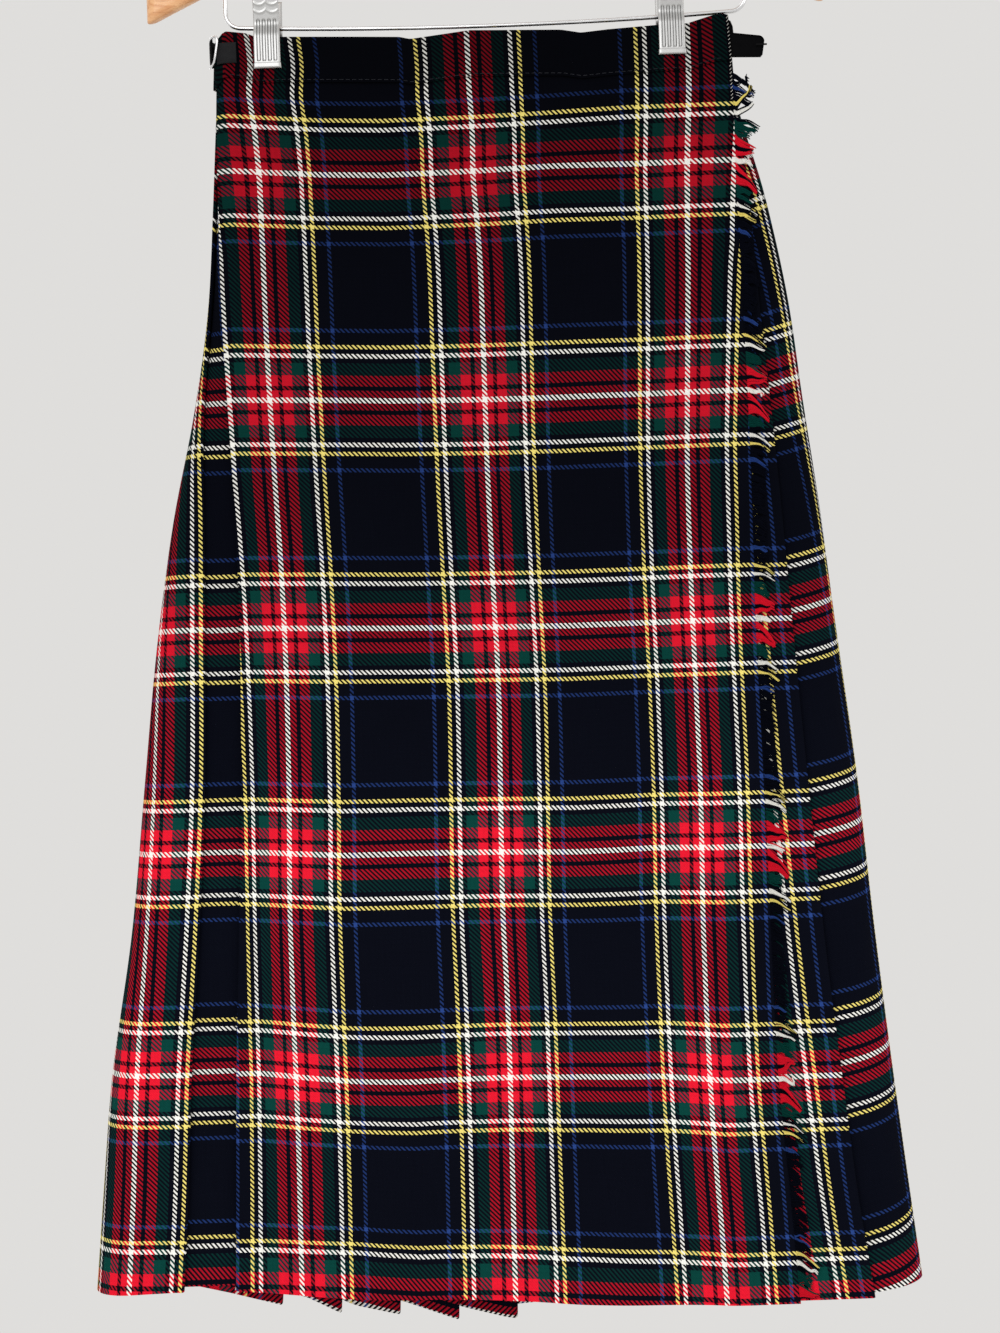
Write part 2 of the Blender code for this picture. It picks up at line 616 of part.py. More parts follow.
def make_right_strap(leather, steel):
    """A flat strap with a round end, sewn to the apron's edge at the waist and standing out to the right."""
    x_from = Outline(0.040).fringe_edge + SEAM
    y = -Outline(FASTENING_DROP).half_depth - STRAP_SEAT
    high = WAIST_Z - RIGHT_STRAP_DROPS[0]
    low = WAIST_Z - RIGHT_STRAP_DROPS[1]
    middle = (low + high) / 2.0
    radius = (high - low) / 2.0
    bulge = radius * 0.45
    round_from = RIGHT_STRAP_END - bulge
    outline = [(x_from, low), (round_from, low)]
    for angle in np.linspace(-np.pi / 2, np.pi / 2, 9)[1:-1]:
        outline.append((round_from + bulge * np.cos(angle), middle + radius * np.sin(angle)))
    outline += [(round_from, high), (x_from, high)]
    front = [(x, y - STRAP_THICK / 2.0, z) for x, z in outline]
    back = [(x, y + STRAP_THICK / 2.0, z) for x, z in outline]
    count = len(outline)
    faces = [tuple(range(count)), tuple(range(count, 2 * count))]
    faces += [(i, (i + 1) % count, count + (i + 1) % count, count + i) for i in range(count)]
    add_mesh("right_strap", front + back, faces, leather, smooth=False)
    above = y - STRAP_THICK / 2.0 - PRONG_RADIUS - SEAM
    prong = [(RIGHT_STRAP_END - 0.0060, above, middle), (RIGHT_STRAP_END + 0.0012, above, middle)]
    wire("right_strap_prong", prong, PRONG_RADIUS, steel)


def main():
    clear_scene()
    cloth = material("black_ground_tartan", (0.012, 0.018, 0.030), 0.92)
    band_cloth = material("tartan_band", (0.014, 0.020, 0.032), 0.92)
    yarn = material("fringe_yarn", (0.030, 0.030, 0.040), 0.95)
    leather = material("black_leather", (0.015, 0.015, 0.017), 0.45)
    steel = material("bright_steel_wire", (0.78, 0.78, 0.80), 0.22, 1.0)
    pale = material("silver_clip_plastic", (0.72, 0.72, 0.74), 0.35)
    wood = material("clear_varnished_wood", (0.62, 0.38, 0.19), 0.38)
    drops = sorted([row.drop for row in LEVELS] + list(EXTRA_ROWS))
    cloth_wall("over_apron", over_apron_section, cloth, drops)
    cloth_wall("pleated_back", pleated_back_section, cloth, drops)
    cloth_wall("under_apron", under_apron_section, cloth, drops)
    band_drops = (0.0, BAND / 2.0, BAND)
    cloth_wall("waistband_front", band_front_section, band_cloth, band_drops)
    cloth_wall("waistband_back", band_back_section, band_cloth, band_drops)
    make_fringe(yarn)
    make_wood(wood)
    make_hook(steel)
    make_bar(steel)
    for side, x in CLIP_CENTRES:
        make_clip(side, x, steel, pale)
    make_fastenings(leather, steel)
    make_right_strap(leather, steel)


main()
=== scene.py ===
"""The looks of the long kilted skirt on its clip hanger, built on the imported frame.

The cloth is made on the same plan as the solids: s runs along a rounded outline, clockwise seen from above
and zero at the middle of the front, n is the depth inside it, and drop is the distance below the waist.
Each cloth carries a UV map that holds the weave: U counts pattern repeats across the cloth, V down it.
"""

import bpy
import numpy as np
from mathutils import Matrix


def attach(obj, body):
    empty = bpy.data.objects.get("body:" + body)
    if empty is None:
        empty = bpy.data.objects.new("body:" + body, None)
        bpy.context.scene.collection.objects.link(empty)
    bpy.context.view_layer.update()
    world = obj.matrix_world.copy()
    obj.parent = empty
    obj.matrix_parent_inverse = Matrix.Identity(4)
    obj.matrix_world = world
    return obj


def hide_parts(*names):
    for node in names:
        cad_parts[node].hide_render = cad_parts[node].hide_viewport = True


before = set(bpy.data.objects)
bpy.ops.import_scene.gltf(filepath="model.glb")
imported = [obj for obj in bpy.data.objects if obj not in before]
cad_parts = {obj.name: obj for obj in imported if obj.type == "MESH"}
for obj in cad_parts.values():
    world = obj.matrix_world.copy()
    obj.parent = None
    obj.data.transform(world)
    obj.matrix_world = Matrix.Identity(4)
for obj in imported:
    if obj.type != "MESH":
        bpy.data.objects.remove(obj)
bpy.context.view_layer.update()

WAIST_Z = -0.1930
DROP = 0.840
SETT = 0.141
PLEATS_BACK = 12
CLOTH = 0.0009

FIELDS = "drop left right half_depth pitch apron_fold recess fringe_edge under_fold stripe_inset"
LEVELS = np.array((
    (0.000, -0.1776, 0.1622, 0.0095, 0.00145, -0.1768, 0.0060, 0.1580, 0.1614, 0.0200),
    (0.040, -0.1798, 0.1652, 0.0098, 0.00145, -0.1788, 0.0070, 0.1600, 0.1628, 0.0200),
    (0.114, -0.1839, 0.1830, 0.0130, 0.00150, -0.1795, 0.0090, 0.1605, 0.1680, 0.0190),
    (0.180, -0.1895, 0.1953, 0.0165, 0.00160, -0.1790, 0.0130, 0.1615, 0.1715, 0.0193),
    (0.250, -0.2017, 0.2034, 0.0195, 0.00170, -0.1765, 0.0180, 0.1625, 0.1765, 0.0183),
    (0.320, -0.2178, 0.2120, 0.0220, 0.00180, -0.1742, 0.0203, 0.1625, 0.1810, 0.0143),
    (0.400, -0.2313, 0.2202, 0.0240, 0.00190, -0.1732, 0.0233, 0.1620, 0.1855, 0.0098),
    (0.500, -0.2438, 0.2311, 0.0260, 0.00205, -0.1755, 0.0240, 0.1640, 0.1917, 0.0075),
    (0.600, -0.2558, 0.2392, 0.0270, 0.00220, -0.1803, 0.0262, 0.1645, 0.1985, 0.0070),
    (0.700, -0.2728, 0.2486, 0.0275, 0.00230, -0.1851, 0.0299, 0.1665, 0.2076, 0.0060),
    (0.770, -0.2804, 0.2559, 0.0275, 0.00240, -0.1875, 0.0315, 0.1712, 0.2145, 0.0060),
    (0.840, -0.2874, 0.2635, 0.0280, 0.00250, -0.1900, 0.0343, 0.1750, 0.2235, 0.0050),
))

# Drop of the top edge and of the hem, front and back, at places across.
FRONT_TOP = ((-0.178, 0.0118), (-0.1715, 0.0056), (-0.157, 0.0075), (-0.150, 0.0106), (-0.135, 0.0106),
             (-0.057, 0.0134), (-0.050, 0.0150), (-0.011, 0.0104), (0.049, 0.0124), (0.062, 0.0148),
             (0.080, 0.0132), (0.112, 0.0114), (0.132, 0.0110), (0.150, 0.0058), (0.1585, 0.0056),
             (0.162, 0.0085))
FRONT_HEM = ((-0.285, 0.829), (-0.230, 0.826), (-0.190, 0.826), (-0.150, 0.829), (-0.086, 0.834),
             (-0.008, 0.839), (0.050, 0.842), (0.130, 0.847), (0.200, 0.847), (0.226, 0.847), (0.260, 0.840))
BACK_TOP = ((-0.180, 0.0100), (-0.120, 0.0145), (-0.011, 0.0265), (0.100, 0.0145), (0.170, 0.0100))
BACK_HEM = ((-0.285, 0.829), (-0.200, 0.829), (-0.150, 0.8305), (-0.118, 0.839), (-0.085, 0.839),
            (-0.047, 0.844), (-0.012, 0.845), (0.020, 0.835), (0.100, 0.833), (0.260, 0.833))

# How much lower a layer's top and hem lie for each metre of depth inside the outline.
TOP_STEP = 0.8
TOP_STEP_MOST = 0.004
FRONT_HEM_STEP = -0.5
BACK_HEM_STEP = 1.6

# Soft folds of the front: x at the waist and the hem, half width, height at the waist, half way and the hem.
FRONT_WAVES = (
    (-0.085, -0.110, 0.050, 0.0005, 0.0060, 0.0080),
    (-0.010, -0.020, 0.034, -0.0005, -0.0022, -0.0015),
    (0.060, 0.050, 0.040, 0.0005, 0.0050, 0.0060),
    (0.115, 0.118, 0.026, 0.0, -0.0012, -0.0015),
)
# Small ripples shared by all the layers: x, drop, half width, half height, height.
RIPPLES = (
    (-0.140, 0.55, 0.014, 0.30, 0.0012), (-0.060, 0.70, 0.018, 0.22, -0.0012),
    (-0.020, 0.45, 0.016, 0.20, 0.0010), (0.030, 0.72, 0.015, 0.20, 0.0012),
    (0.090, 0.60, 0.016, 0.25, -0.0010), (0.140, 0.72, 0.012, 0.18, 0.0012),
    (0.010, 0.20, 0.050, 0.05, 0.0010), (-0.100, 0.26, 0.050, 0.05, -0.0009),
)

# Where three red stripes' middles lie across the front, drop by drop, and the weave at the apron's two edges.
STRIPES = np.array((
    (0.000, -0.1573, -0.0130, 0.1316), (0.020, -0.1550, -0.0126, 0.1316), (0.041, -0.1567, -0.0124, 0.1315),
    (0.053, -0.1551, -0.0118, 0.1308), (0.065, -0.1537, -0.0115, 0.1301), (0.077, -0.1528, -0.0115, 0.1293),
    (0.088, -0.1519, -0.0118, 0.1287), (0.100, -0.1514, -0.0118, 0.1281), (0.112, -0.1513, -0.0112, 0.1278),
    (0.125, -0.1511, -0.0104, 0.1273), (0.148, -0.1508, -0.0094, 0.1268), (0.208, -0.1500, -0.0090, 0.1244),
    (0.293, -0.1476, -0.0091, 0.1210), (0.359, -0.1450, -0.0082, 0.1205), (0.443, -0.1439, -0.0068, 0.1213),
    (0.502, -0.1445, -0.0078, 0.1218), (0.592, -0.1467, -0.0090, 0.1205), (0.644, -0.1467, -0.0080, 0.1206),
    (0.742, -0.1461, -0.0085, 0.1230), (0.793, -0.1466, -0.0091, 0.1257), (0.840, -0.1470, -0.0095, 0.1275),
))
FOLD_WEAVE = ((0.0, 0.163), (0.048, 0.1635), (0.11, 0.1675), (0.15, 0.170), (0.30, 0.170), (0.437, 0.174),
              (0.576, 0.180), (0.695, 0.185), (0.84, 0.185))
EDGE_WEAVE = ((0.0, -0.1663), (0.060, -0.1668), (0.085, -0.1685), (0.115, -0.171), (0.150, -0.1735),
              (0.165, -0.1755), (0.225, -0.181), (0.28, -0.185), (0.5, -0.187), (0.84, -0.190))

RETURN = 0.075
FOLD_TO_STRIPE = 0.0707
FIRST_BACK_FOLD = 0.004
FIRST_TUCK_AT_WAIST = 0.038
FIRST_TUCK_LEAST = 0.008
LAST_TUCK_END = 0.0015
LAST_TUCK_DEPTH = 1.2
FRONT_CELLS = 12
LAST_TUCK_CELLS = 3
UNDER_END_SHARE = 0.78
BAND = 0.0305
BAND_BACK_START = 0.0016
BAND_BACK_TURN = 0.24

FRINGE_YARNS = 1300
FRINGE_STEPS = 10
FRINGE_TOP = 0.0372
FRINGE_BOTTOM = 0.8366
FRINGE_LOCK = 0.0052
FRINGE_LINE_LENGTH = 0.0145
FRINGE_RED_LENGTH = 0.0140
# Where the fringe is more tangled: drop, half height, how much.
TANGLES = ((0.700, 0.018, 2.2), (0.822, 0.014, 1.6), (0.042, 0.014, 3.4))

HANGER_HALF = 0.2230
HANGER_THICK = 0.0125
HANGER_RISE = 0.0880
TIP_HEIGHT = 0.0200
NECK_HEIGHT = 0.0380
BAR_RADIUS = 0.0015
BAR_HALF = 0.1714
BAR_BEND = 0.0100
HOOK_RADIUS = 0.0019
HOOK_BEND = 0.0219

CLIP_CENTRES = (("left", -0.1437), ("right", 0.1215))
CLIP_WIDTH = 0.0176
CLIP_GROOVES = (-0.0054, -0.0018, 0.0018, 0.0054)
GROOVE_STEP = 0.0036
GROOVE_SIDE = 0.0008
GROOVE_DEPTH = 0.00075
ARC_LEVELS = (0.0060, 0.0108, 0.0156)
ARC_HEIGHT = 0.00040
JAW_HALF = 0.0008
LIP_HEIGHT = 0.0040
JAW_END = 0.0314
JAW_STRAIGHT = 0.0090
JAW_FLARE = 0.0055
JAW_TOP = 0.0200
CORE_DEPTH = 0.0088

STITCH_OUT = 0.0006
STITCH_RADIUS = 0.00019
BAND_STITCH_STEP = 0.0042
BAND_STITCH_DROP = BAND - 0.0016

FASTENING_DROP = 0.018
TAB_ALONG = (-0.0162, -0.0046)
END_ALONG = (-0.0012, 0.0150)
TAB_DROPS = (0.0134, 0.0270)
END_DROPS = (0.0084, 0.0256)
STRAP_THICK = 0.0020
BUCKLE_DROPS = (0.0088, 0.0276)
BUCKLE_RADIUS = 0.0008
RIGHT_STRAP_DROPS = (0.0187, 0.0345)
RIGHT_STRAP_END = 0.1822

FIRST_PLEAT_WEAVE = 2.0 * SETT + 0.1065
UNDER_FOLD_WEAVE = 19.0 * SETT - 0.0495

# The drops at which rows of the pattern lie, at six places across the front: the row's count of repeats, then
# its drops. Above and below them the repeats go on at the pitches given.
ROW_PLACES = np.array((-0.170, -0.110, -0.070, 0.040, 0.090, 0.130))
ROWS = np.array((
    (-0.194, 0.0675, 0.0728, 0.0745, 0.0728, 0.0710, 0.0708),
    (0.000, 0.0975, 0.1025, 0.1042, 0.1018, 0.1022, 0.1016),
    (1.000, 0.2485, 0.2510, 0.2528, 0.2543, 0.2538, 0.2533),
    (2.000, 0.3973, 0.3995, 0.4008, 0.4030, 0.4027, 0.4025),
    (3.000, 0.5424, 0.5462, 0.5466, 0.5492, 0.5486, 0.5499),
    (4.000, 0.6855, 0.6918, 0.6943, 0.6942, 0.6966, 0.7010),
    (4.806, 0.7996, 0.8020, 0.8073, 0.8121, 0.8164, 0.8204),
))
PITCH_ABOVE = 0.155
PITCH_BELOW = 0.168
BAND_ROW = 0.5
BAND_PITCH = 0.150
# The back pleats' rows lie higher than the apron's. The last pleat's rise towards the side.
BACK_RISE = 0.0035
LAST_RISE = 0.005
LAST_SLOPE = 0.20
LAST_SLOPE_AT_HEM = 0.30
LAST_SLOPE_REACH = 0.06
BACK_TOP_REACH = 0.06


def smoothstep(t):
    t = np.clip(t, 0.0, 1.0)
    return t * t * (3.0 - 2.0 * t)


def across(table, x):
    """Value at x of a table of (x, value) rows, joined by straight lines."""
    rows = np.array(table)
    return np.interp(x, rows[:, 0], rows[:, 1])


def soft_across(table, x, reach):
    """The same with its corners rounded: the mean over places up to reach to both sides."""
    return sum(across(table, x + offset) for offset in np.linspace(-reach, reach, 9)) / 9.0


def hermite(t, start, end, leave, arrive):
    """Cubic from start to end as t goes from 0 to 1, with the slopes leave and arrive at its ends."""
    curve = (2 * t**3 - 3 * t**2 + 1) * start + (t**3 - 2 * t**2 + t) * leave
    return curve + (3 * t**2 - 2 * t**3) * end + (t**3 - t**2) * arrive


def eased(x, places, values):
    """Cubic through the values at the places, with the slope of the chord between neighbours at each."""
    slope = np.gradient(values, places)
    i = np.clip(np.searchsorted(places, x) - 1, 0, len(places) - 2)
    width = places[i + 1] - places[i]
    t = (np.clip(x, places[0], places[-1]) - places[i]) / width
    return hermite(t, values[i], values[i + 1], width * slope[i], width * slope[i + 1])


class Plan:
    """The plan outline at every drop: two straight sides joined by half circles. Its values are columns."""

    def __init__(self, drops):
        self.drop = np.asarray(drops, float)[:, None]
        for i, field in enumerate(FIELDS.split()[1:], 1):
            setattr(self, field, eased(self.drop, LEVELS[:, 0], LEVELS[:, i]))
        self.x0 = self.left + self.half_depth
        self.x1 = self.right - self.half_depth
        self.turn = np.pi * self.half_depth
        self.s_left_back = -self.x0 + self.turn
        self.s_right_back = self.s_left_back + self.x1 - self.x0
        self.around = 2.0 * (self.x1 - self.x0) + 2.0 * self.turn
        self.edge = self.s_right_front(self.fringe_edge)
        self.fold = self.s_left_front(self.apron_fold)
        self.first = self.fold + self.recess
        self.last = self.s_right_back + self.turn / 2.0 - FOLD_TO_STRIPE + self.stripe_inset
        self.under = self.around + self.s_right_front(self.under_fold)
        self.back_first = self.s_left_back + FIRST_BACK_FOLD
        self.cell = (self.fold - RETURN - self.edge) / FRONT_CELLS

    def s_left_front(self, x):
        angle = np.arcsin(np.clip((self.x0 - x) / self.half_depth, 0.0, 1.0))
        return -np.maximum(x, self.x0) + self.half_depth * angle

    def s_right_front(self, x):
        angle = np.arcsin(np.clip((x - self.x1) / self.half_depth, 0.0, 1.0))
        return -np.minimum(x, self.x1) - self.half_depth * angle

    def flat(self, s, n):
        """(x, y) on the outline: straight at front and back, (depth sin a, depth cos a) round the sides."""
        s = (s + self.x1 + self.turn / 2.0) % self.around - self.x1 - self.turn / 2.0
        depth = self.half_depth - n
        right = np.clip((-s - self.x1) / self.half_depth, 0.0, np.pi)
        left = np.clip((s + self.x0) / self.half_depth, 0.0, np.pi)
        over = np.clip(s - self.s_left_back, 0.0, self.x1 - self.x0)
        late = np.clip((s - self.s_right_back) / self.half_depth, 0.0, np.pi)
        behind = self.x0 + over + depth * (np.sin(late) - np.sin(left))
        x = np.where(left > 0.0, behind, np.clip(-s, self.x0, self.x1))
        y = np.where(left > 0.0, -depth * np.cos(left), -depth)
        y = np.where(late > 0.0, depth * np.cos(late), y)
        x = np.where(right > 0.0, self.x1 + depth * np.sin(right), x)
        y = np.where(right > 0.0, -depth * np.cos(right), y)
        return x, y

    def stand_out(self, x):
        """How far the front stands out at x: the sum of bell curves for the soft folds and the ripples."""
        t = self.drop / DROP
        out = np.zeros_like(x)
        for x_waist, x_hem, half_width, at_waist, at_half, at_hem in FRONT_WAVES:
            middle = x_waist + (x_hem - x_waist) * t
            height = np.interp(t, (0.0, 0.5, 1.0), (at_waist, at_half, at_hem))
            out += height * np.exp(-(((x - middle) / half_width) ** 2))
        for x_at, drop_at, half_width, half_height, height in RIPPLES:
            far = ((x - x_at) / half_width) ** 2 + ((self.drop - drop_at) / half_height) ** 2
            out += height * np.exp(-far) * smoothstep((self.drop - 0.05) / 0.05)
        return out

    def place(self, s, n):
        """Points in space of places along and inside the outline, rows by points by xyz."""
        x, y = self.flat(s, n)
        backness = smoothstep((y + self.half_depth * 0.25) / (self.half_depth * 0.75))
        y = y - self.stand_out(x) * smoothstep(-y / (self.half_depth * 0.8))
        share = self.drop / DROP
        back_top = soft_across(BACK_TOP, x, BACK_TOP_REACH)
        top = across(FRONT_TOP, x) * (1 - backness) + back_top * backness
        inside = np.maximum(n, 0.0)
        top = top + np.minimum(TOP_STEP * inside, TOP_STEP_MOST)
        front_hem = across(FRONT_HEM, x) + FRONT_HEM_STEP * inside
        back_hem = across(BACK_HEM, x) + BACK_HEM_STEP * inside
        hem = front_hem * (1 - backness) + back_hem * backness
        return np.stack([x, y, WAIST_Z - top - share * (hem - top)], axis=-1)


def track(plan, stops):
    """A layer's places along its stops (s, n, cells before it, reach of its rounded corner). Between stops
    they lie on straight runs, and at a rounded stop on the quadratic curve that touches both runs."""
    rows = len(plan.drop)
    where = []
    for s, n, _, _ in stops:
        where.append(np.stack(np.broadcast_arrays(s + 0.0 * plan.drop, n + 0.0 * plan.drop), axis=-1))
    leave = where[0]
    parts = [leave]
    marks = [0]
    count = 1
    for i in range(1, len(stops)):
        here = where[i]
        _, _, cells, reach = stops[i]
        back = where[i - 1] - here
        back_length = np.maximum(np.linalg.norm(back, axis=2, keepdims=True), 1e-9)
        if i < len(stops) - 1 and np.max(reach) > 0.0:
            on = where[i + 1] - here
            on_length = np.maximum(np.linalg.norm(on, axis=2, keepdims=True), 1e-9)
            reach = np.broadcast_to(reach, (rows, 1))[..., None]
            arrive = here + back * np.minimum(reach / back_length, 0.49)
            depart = here + on * np.minimum(reach / on_length, 0.49)
        else:
            arrive = here
            depart = None
        t = np.linspace(0.0, 1.0, cells + 1)[None, 1:, None]
        parts.append(leave * (1 - t) + arrive * t)
        count += cells
        leave = arrive
        if depart is not None:
            t = np.linspace(0.0, 1.0, 4)[None, 1:, None]
            parts.append(arrive * (1 - t) ** 2 + 2 * here * t * (1 - t) + depart * t**2)
            count += 3
            leave = depart
        marks.append(count - 1)
    places = np.concatenate(parts, axis=1)
    return places[..., 0], places[..., 1], marks


def along(s, n):
    """Length along each row of places."""
    step = np.hypot(np.diff(s, axis=1), np.diff(n, axis=1))
    return np.concatenate([np.zeros((len(s), 1)), np.cumsum(step, axis=1)], axis=1)


def build(name, points, faces, mat, weave=None, smooth=True, sharp=50):
    """One piece from points and faces. A closed shell that comes out inside out has its faces turned."""
    points = np.asarray(points, float).reshape(-1, 3)
    faces = np.asarray(faces, int)
    a, b, c = (points[faces[:, i]] for i in (0, 1, 2))
    volume = np.sum(np.cross(a, b) * c)
    if faces.shape[1] == 4:
        d = points[faces[:, 3]]
        volume += np.sum(np.cross(a, c) * d)
    if volume < 0.0:
        faces = faces[:, ::-1]
    corners = faces.shape[1]
    mesh = bpy.data.meshes.new(name)
    mesh.vertices.add(len(points))
    mesh.vertices.foreach_set("co", points.astype(np.float32).ravel())
    mesh.loops.add(faces.size)
    mesh.loops.foreach_set("vertex_index", faces.astype(np.int32).ravel())
    mesh.polygons.add(len(faces))
    mesh.polygons.foreach_set("loop_start", np.arange(0, faces.size, corners, dtype=np.int32))
    if weave is not None:
        layer = mesh.uv_layers.new(name="weave")
        layer.data.foreach_set("uv", np.asarray(weave, np.float32).reshape(-1, 2)[faces.ravel()].ravel())
    mesh.update(calc_edges=True)
    mesh.validate()
    if smooth:
        mesh.shade_smooth()
        mesh.set_sharp_from_angle(angle=np.radians(sharp))
    mesh.materials.append(mat)
    piece = bpy.data.objects.new(name, mesh)
    bpy.context.scene.collection.objects.link(piece)
    return piece


def grid_faces(rows, around, closed=True):
    """Quads between neighbouring rows of points, and from a row's last point to its first if closed."""
    i = np.arange(around if closed else around - 1)
    j = (i + 1) % around
    r = np.arange(rows - 1)[:, None] * around
    return np.stack([r + i, r + j, r + around + j, r + around + i], axis=-1).reshape(-1, 4)


def wall_faces(rows, count):
    """Faces of a closed wall. Each row holds count points of one side, then the other side's backwards. Quads
    run round it, and strips close its top and bottom."""
    i = np.arange(count - 1)
    k = 2 * count - 1 - i
    top = np.stack([i + 1, i, k, k - 1], axis=-1)
    bottom = np.stack([i, i + 1, k - 1, k], axis=-1) + (rows - 1) * 2 * count
    return np.concatenate([grid_faces(rows, 2 * count), top, bottom])


def shell(name, middle, weave, mat, thickness=CLOTH):
    """A closed wall: each place moves half the thickness both ways along the plan normal of its row, further
    at corners, and strips join the two sides. thickness is one value or a value for each place."""
    step = np.diff(middle[..., :2], axis=1)
    step /= np.maximum(np.linalg.norm(step, axis=2, keepdims=True), 1e-9)
    before = np.concatenate([step[:, :1], step], axis=1)
    after = np.concatenate([step, step[:, -1:]], axis=1)
    normal = before + after
    normal /= np.maximum(np.linalg.norm(normal, axis=2, keepdims=True), 1e-9)
    lean = np.clip(np.sum(normal * before, axis=2, keepdims=True), 0.66, 1.0)
    shift = np.zeros_like(middle)
    shift[..., 0] = -normal[..., 1] / lean[..., 0]
    shift[..., 1] = normal[..., 0] / lean[..., 0]
    shift *= np.asarray(thickness)[..., None] / 2.0
    rows, count = middle.shape[:2]
    ring = np.concatenate([middle + shift, (middle - shift)[:, ::-1]], axis=1)
    twice = None if weave is None else np.concatenate([weave, weave[:, ::-1]], axis=1)
    return build(name, ring, wall_faces(rows, count), mat, twice)


def strands(name, paths, radii, mat, sides=4, weave=None, closed=False):
    """Tubes round many paths at once, an array of tubes by steps by xyz. Every ring stands square to its
    path: middle + radius * (cos a * side + sin a * other). The end rings are closed flat."""
    paths = np.asarray(paths, float)
    count, steps = paths.shape[:2]
    radii = np.broadcast_to(np.asarray(radii, float), (count, steps))
    if closed:
        ahead = np.roll(paths, -1, axis=1) - np.roll(paths, 1, axis=1)
    else:
        ahead = np.gradient(paths, axis=1)
    ahead /= np.maximum(np.linalg.norm(ahead, axis=2, keepdims=True), 1e-12)
    side = np.cross(ahead, (0.0, 1.0, 0.0))
    side = np.where(np.linalg.norm(side, axis=2, keepdims=True) < 0.3, np.cross(ahead, (0.0, 0.0, 1.0)), side)
    side /= np.linalg.norm(side, axis=2, keepdims=True)
    other = np.cross(ahead, side)
    angle = np.linspace(0.0, 2.0 * np.pi, sides, endpoint=False)[:, None]
    ring = np.cos(angle) * side[:, :, None, :] + np.sin(angle) * other[:, :, None, :]
    points = paths[:, :, None, :] + ring * radii[:, :, None, None]
    around = grid_faces(steps + 1, sides) if closed else grid_faces(steps, sides)
    one = around % (steps * sides)
    if not closed:
        fan = np.arange(1, sides - 1, 2)
        cap = np.stack([np.zeros_like(fan), fan, fan + 1, (fan + 2) % sides], axis=-1)
        one = np.concatenate([one, cap[:, ::-1], cap + (steps - 1) * sides])
    faces = (np.arange(count)[:, None, None] * (steps * sides) + one).reshape(-1, 4)
    if weave is not None:
        weave = np.broadcast_to(np.asarray(weave)[:, :, None, :], (count, steps, sides, 2))
    return build(name, points, faces, mat, weave)


def build_mixed(name, points, faces, mat, sharp=50):
    """One piece from points and faces with any number of corners, already turned outwards or turned here."""
    mesh = bpy.data.meshes.new(name)
    mesh.from_pydata(np.asarray(points).tolist(), [], [[int(i) for i in f] for f in faces])
    mesh.validate()
    triangles = [(f[0], f[i], f[i + 1]) for f in faces for i in range(1, len(f) - 1)]
    a, b, c = np.asarray(points)[np.array(triangles).T]
    if np.sum(np.cross(a, b) * c) < 0.0:
        mesh.flip_normals()
    mesh.shade_smooth()
    mesh.set_sharp_from_angle(angle=np.radians(sharp))
    mesh.materials.append(mat)
    piece = bpy.data.objects.new(name, mesh)
    bpy.context.scene.collection.objects.link(piece)
    return piece


class Value:
    """A shader socket. Arithmetic on it adds Math nodes."""

    def __init__(self, paint, socket):
        self.paint = paint
        self.socket = socket

    def math(self, operation, *others):
        return self.paint.math(operation, self, *others)

    def __add__(self, other):
        return self.math("ADD", other)

    def __sub__(self, other):
        return self.math("SUBTRACT", other)

    def __rsub__(self, other):
        return self.paint.math("SUBTRACT", other, self)

    def __mul__(self, other):
        return self.math("MULTIPLY", other)

    __radd__ = __add__
    __rmul__ = __mul__


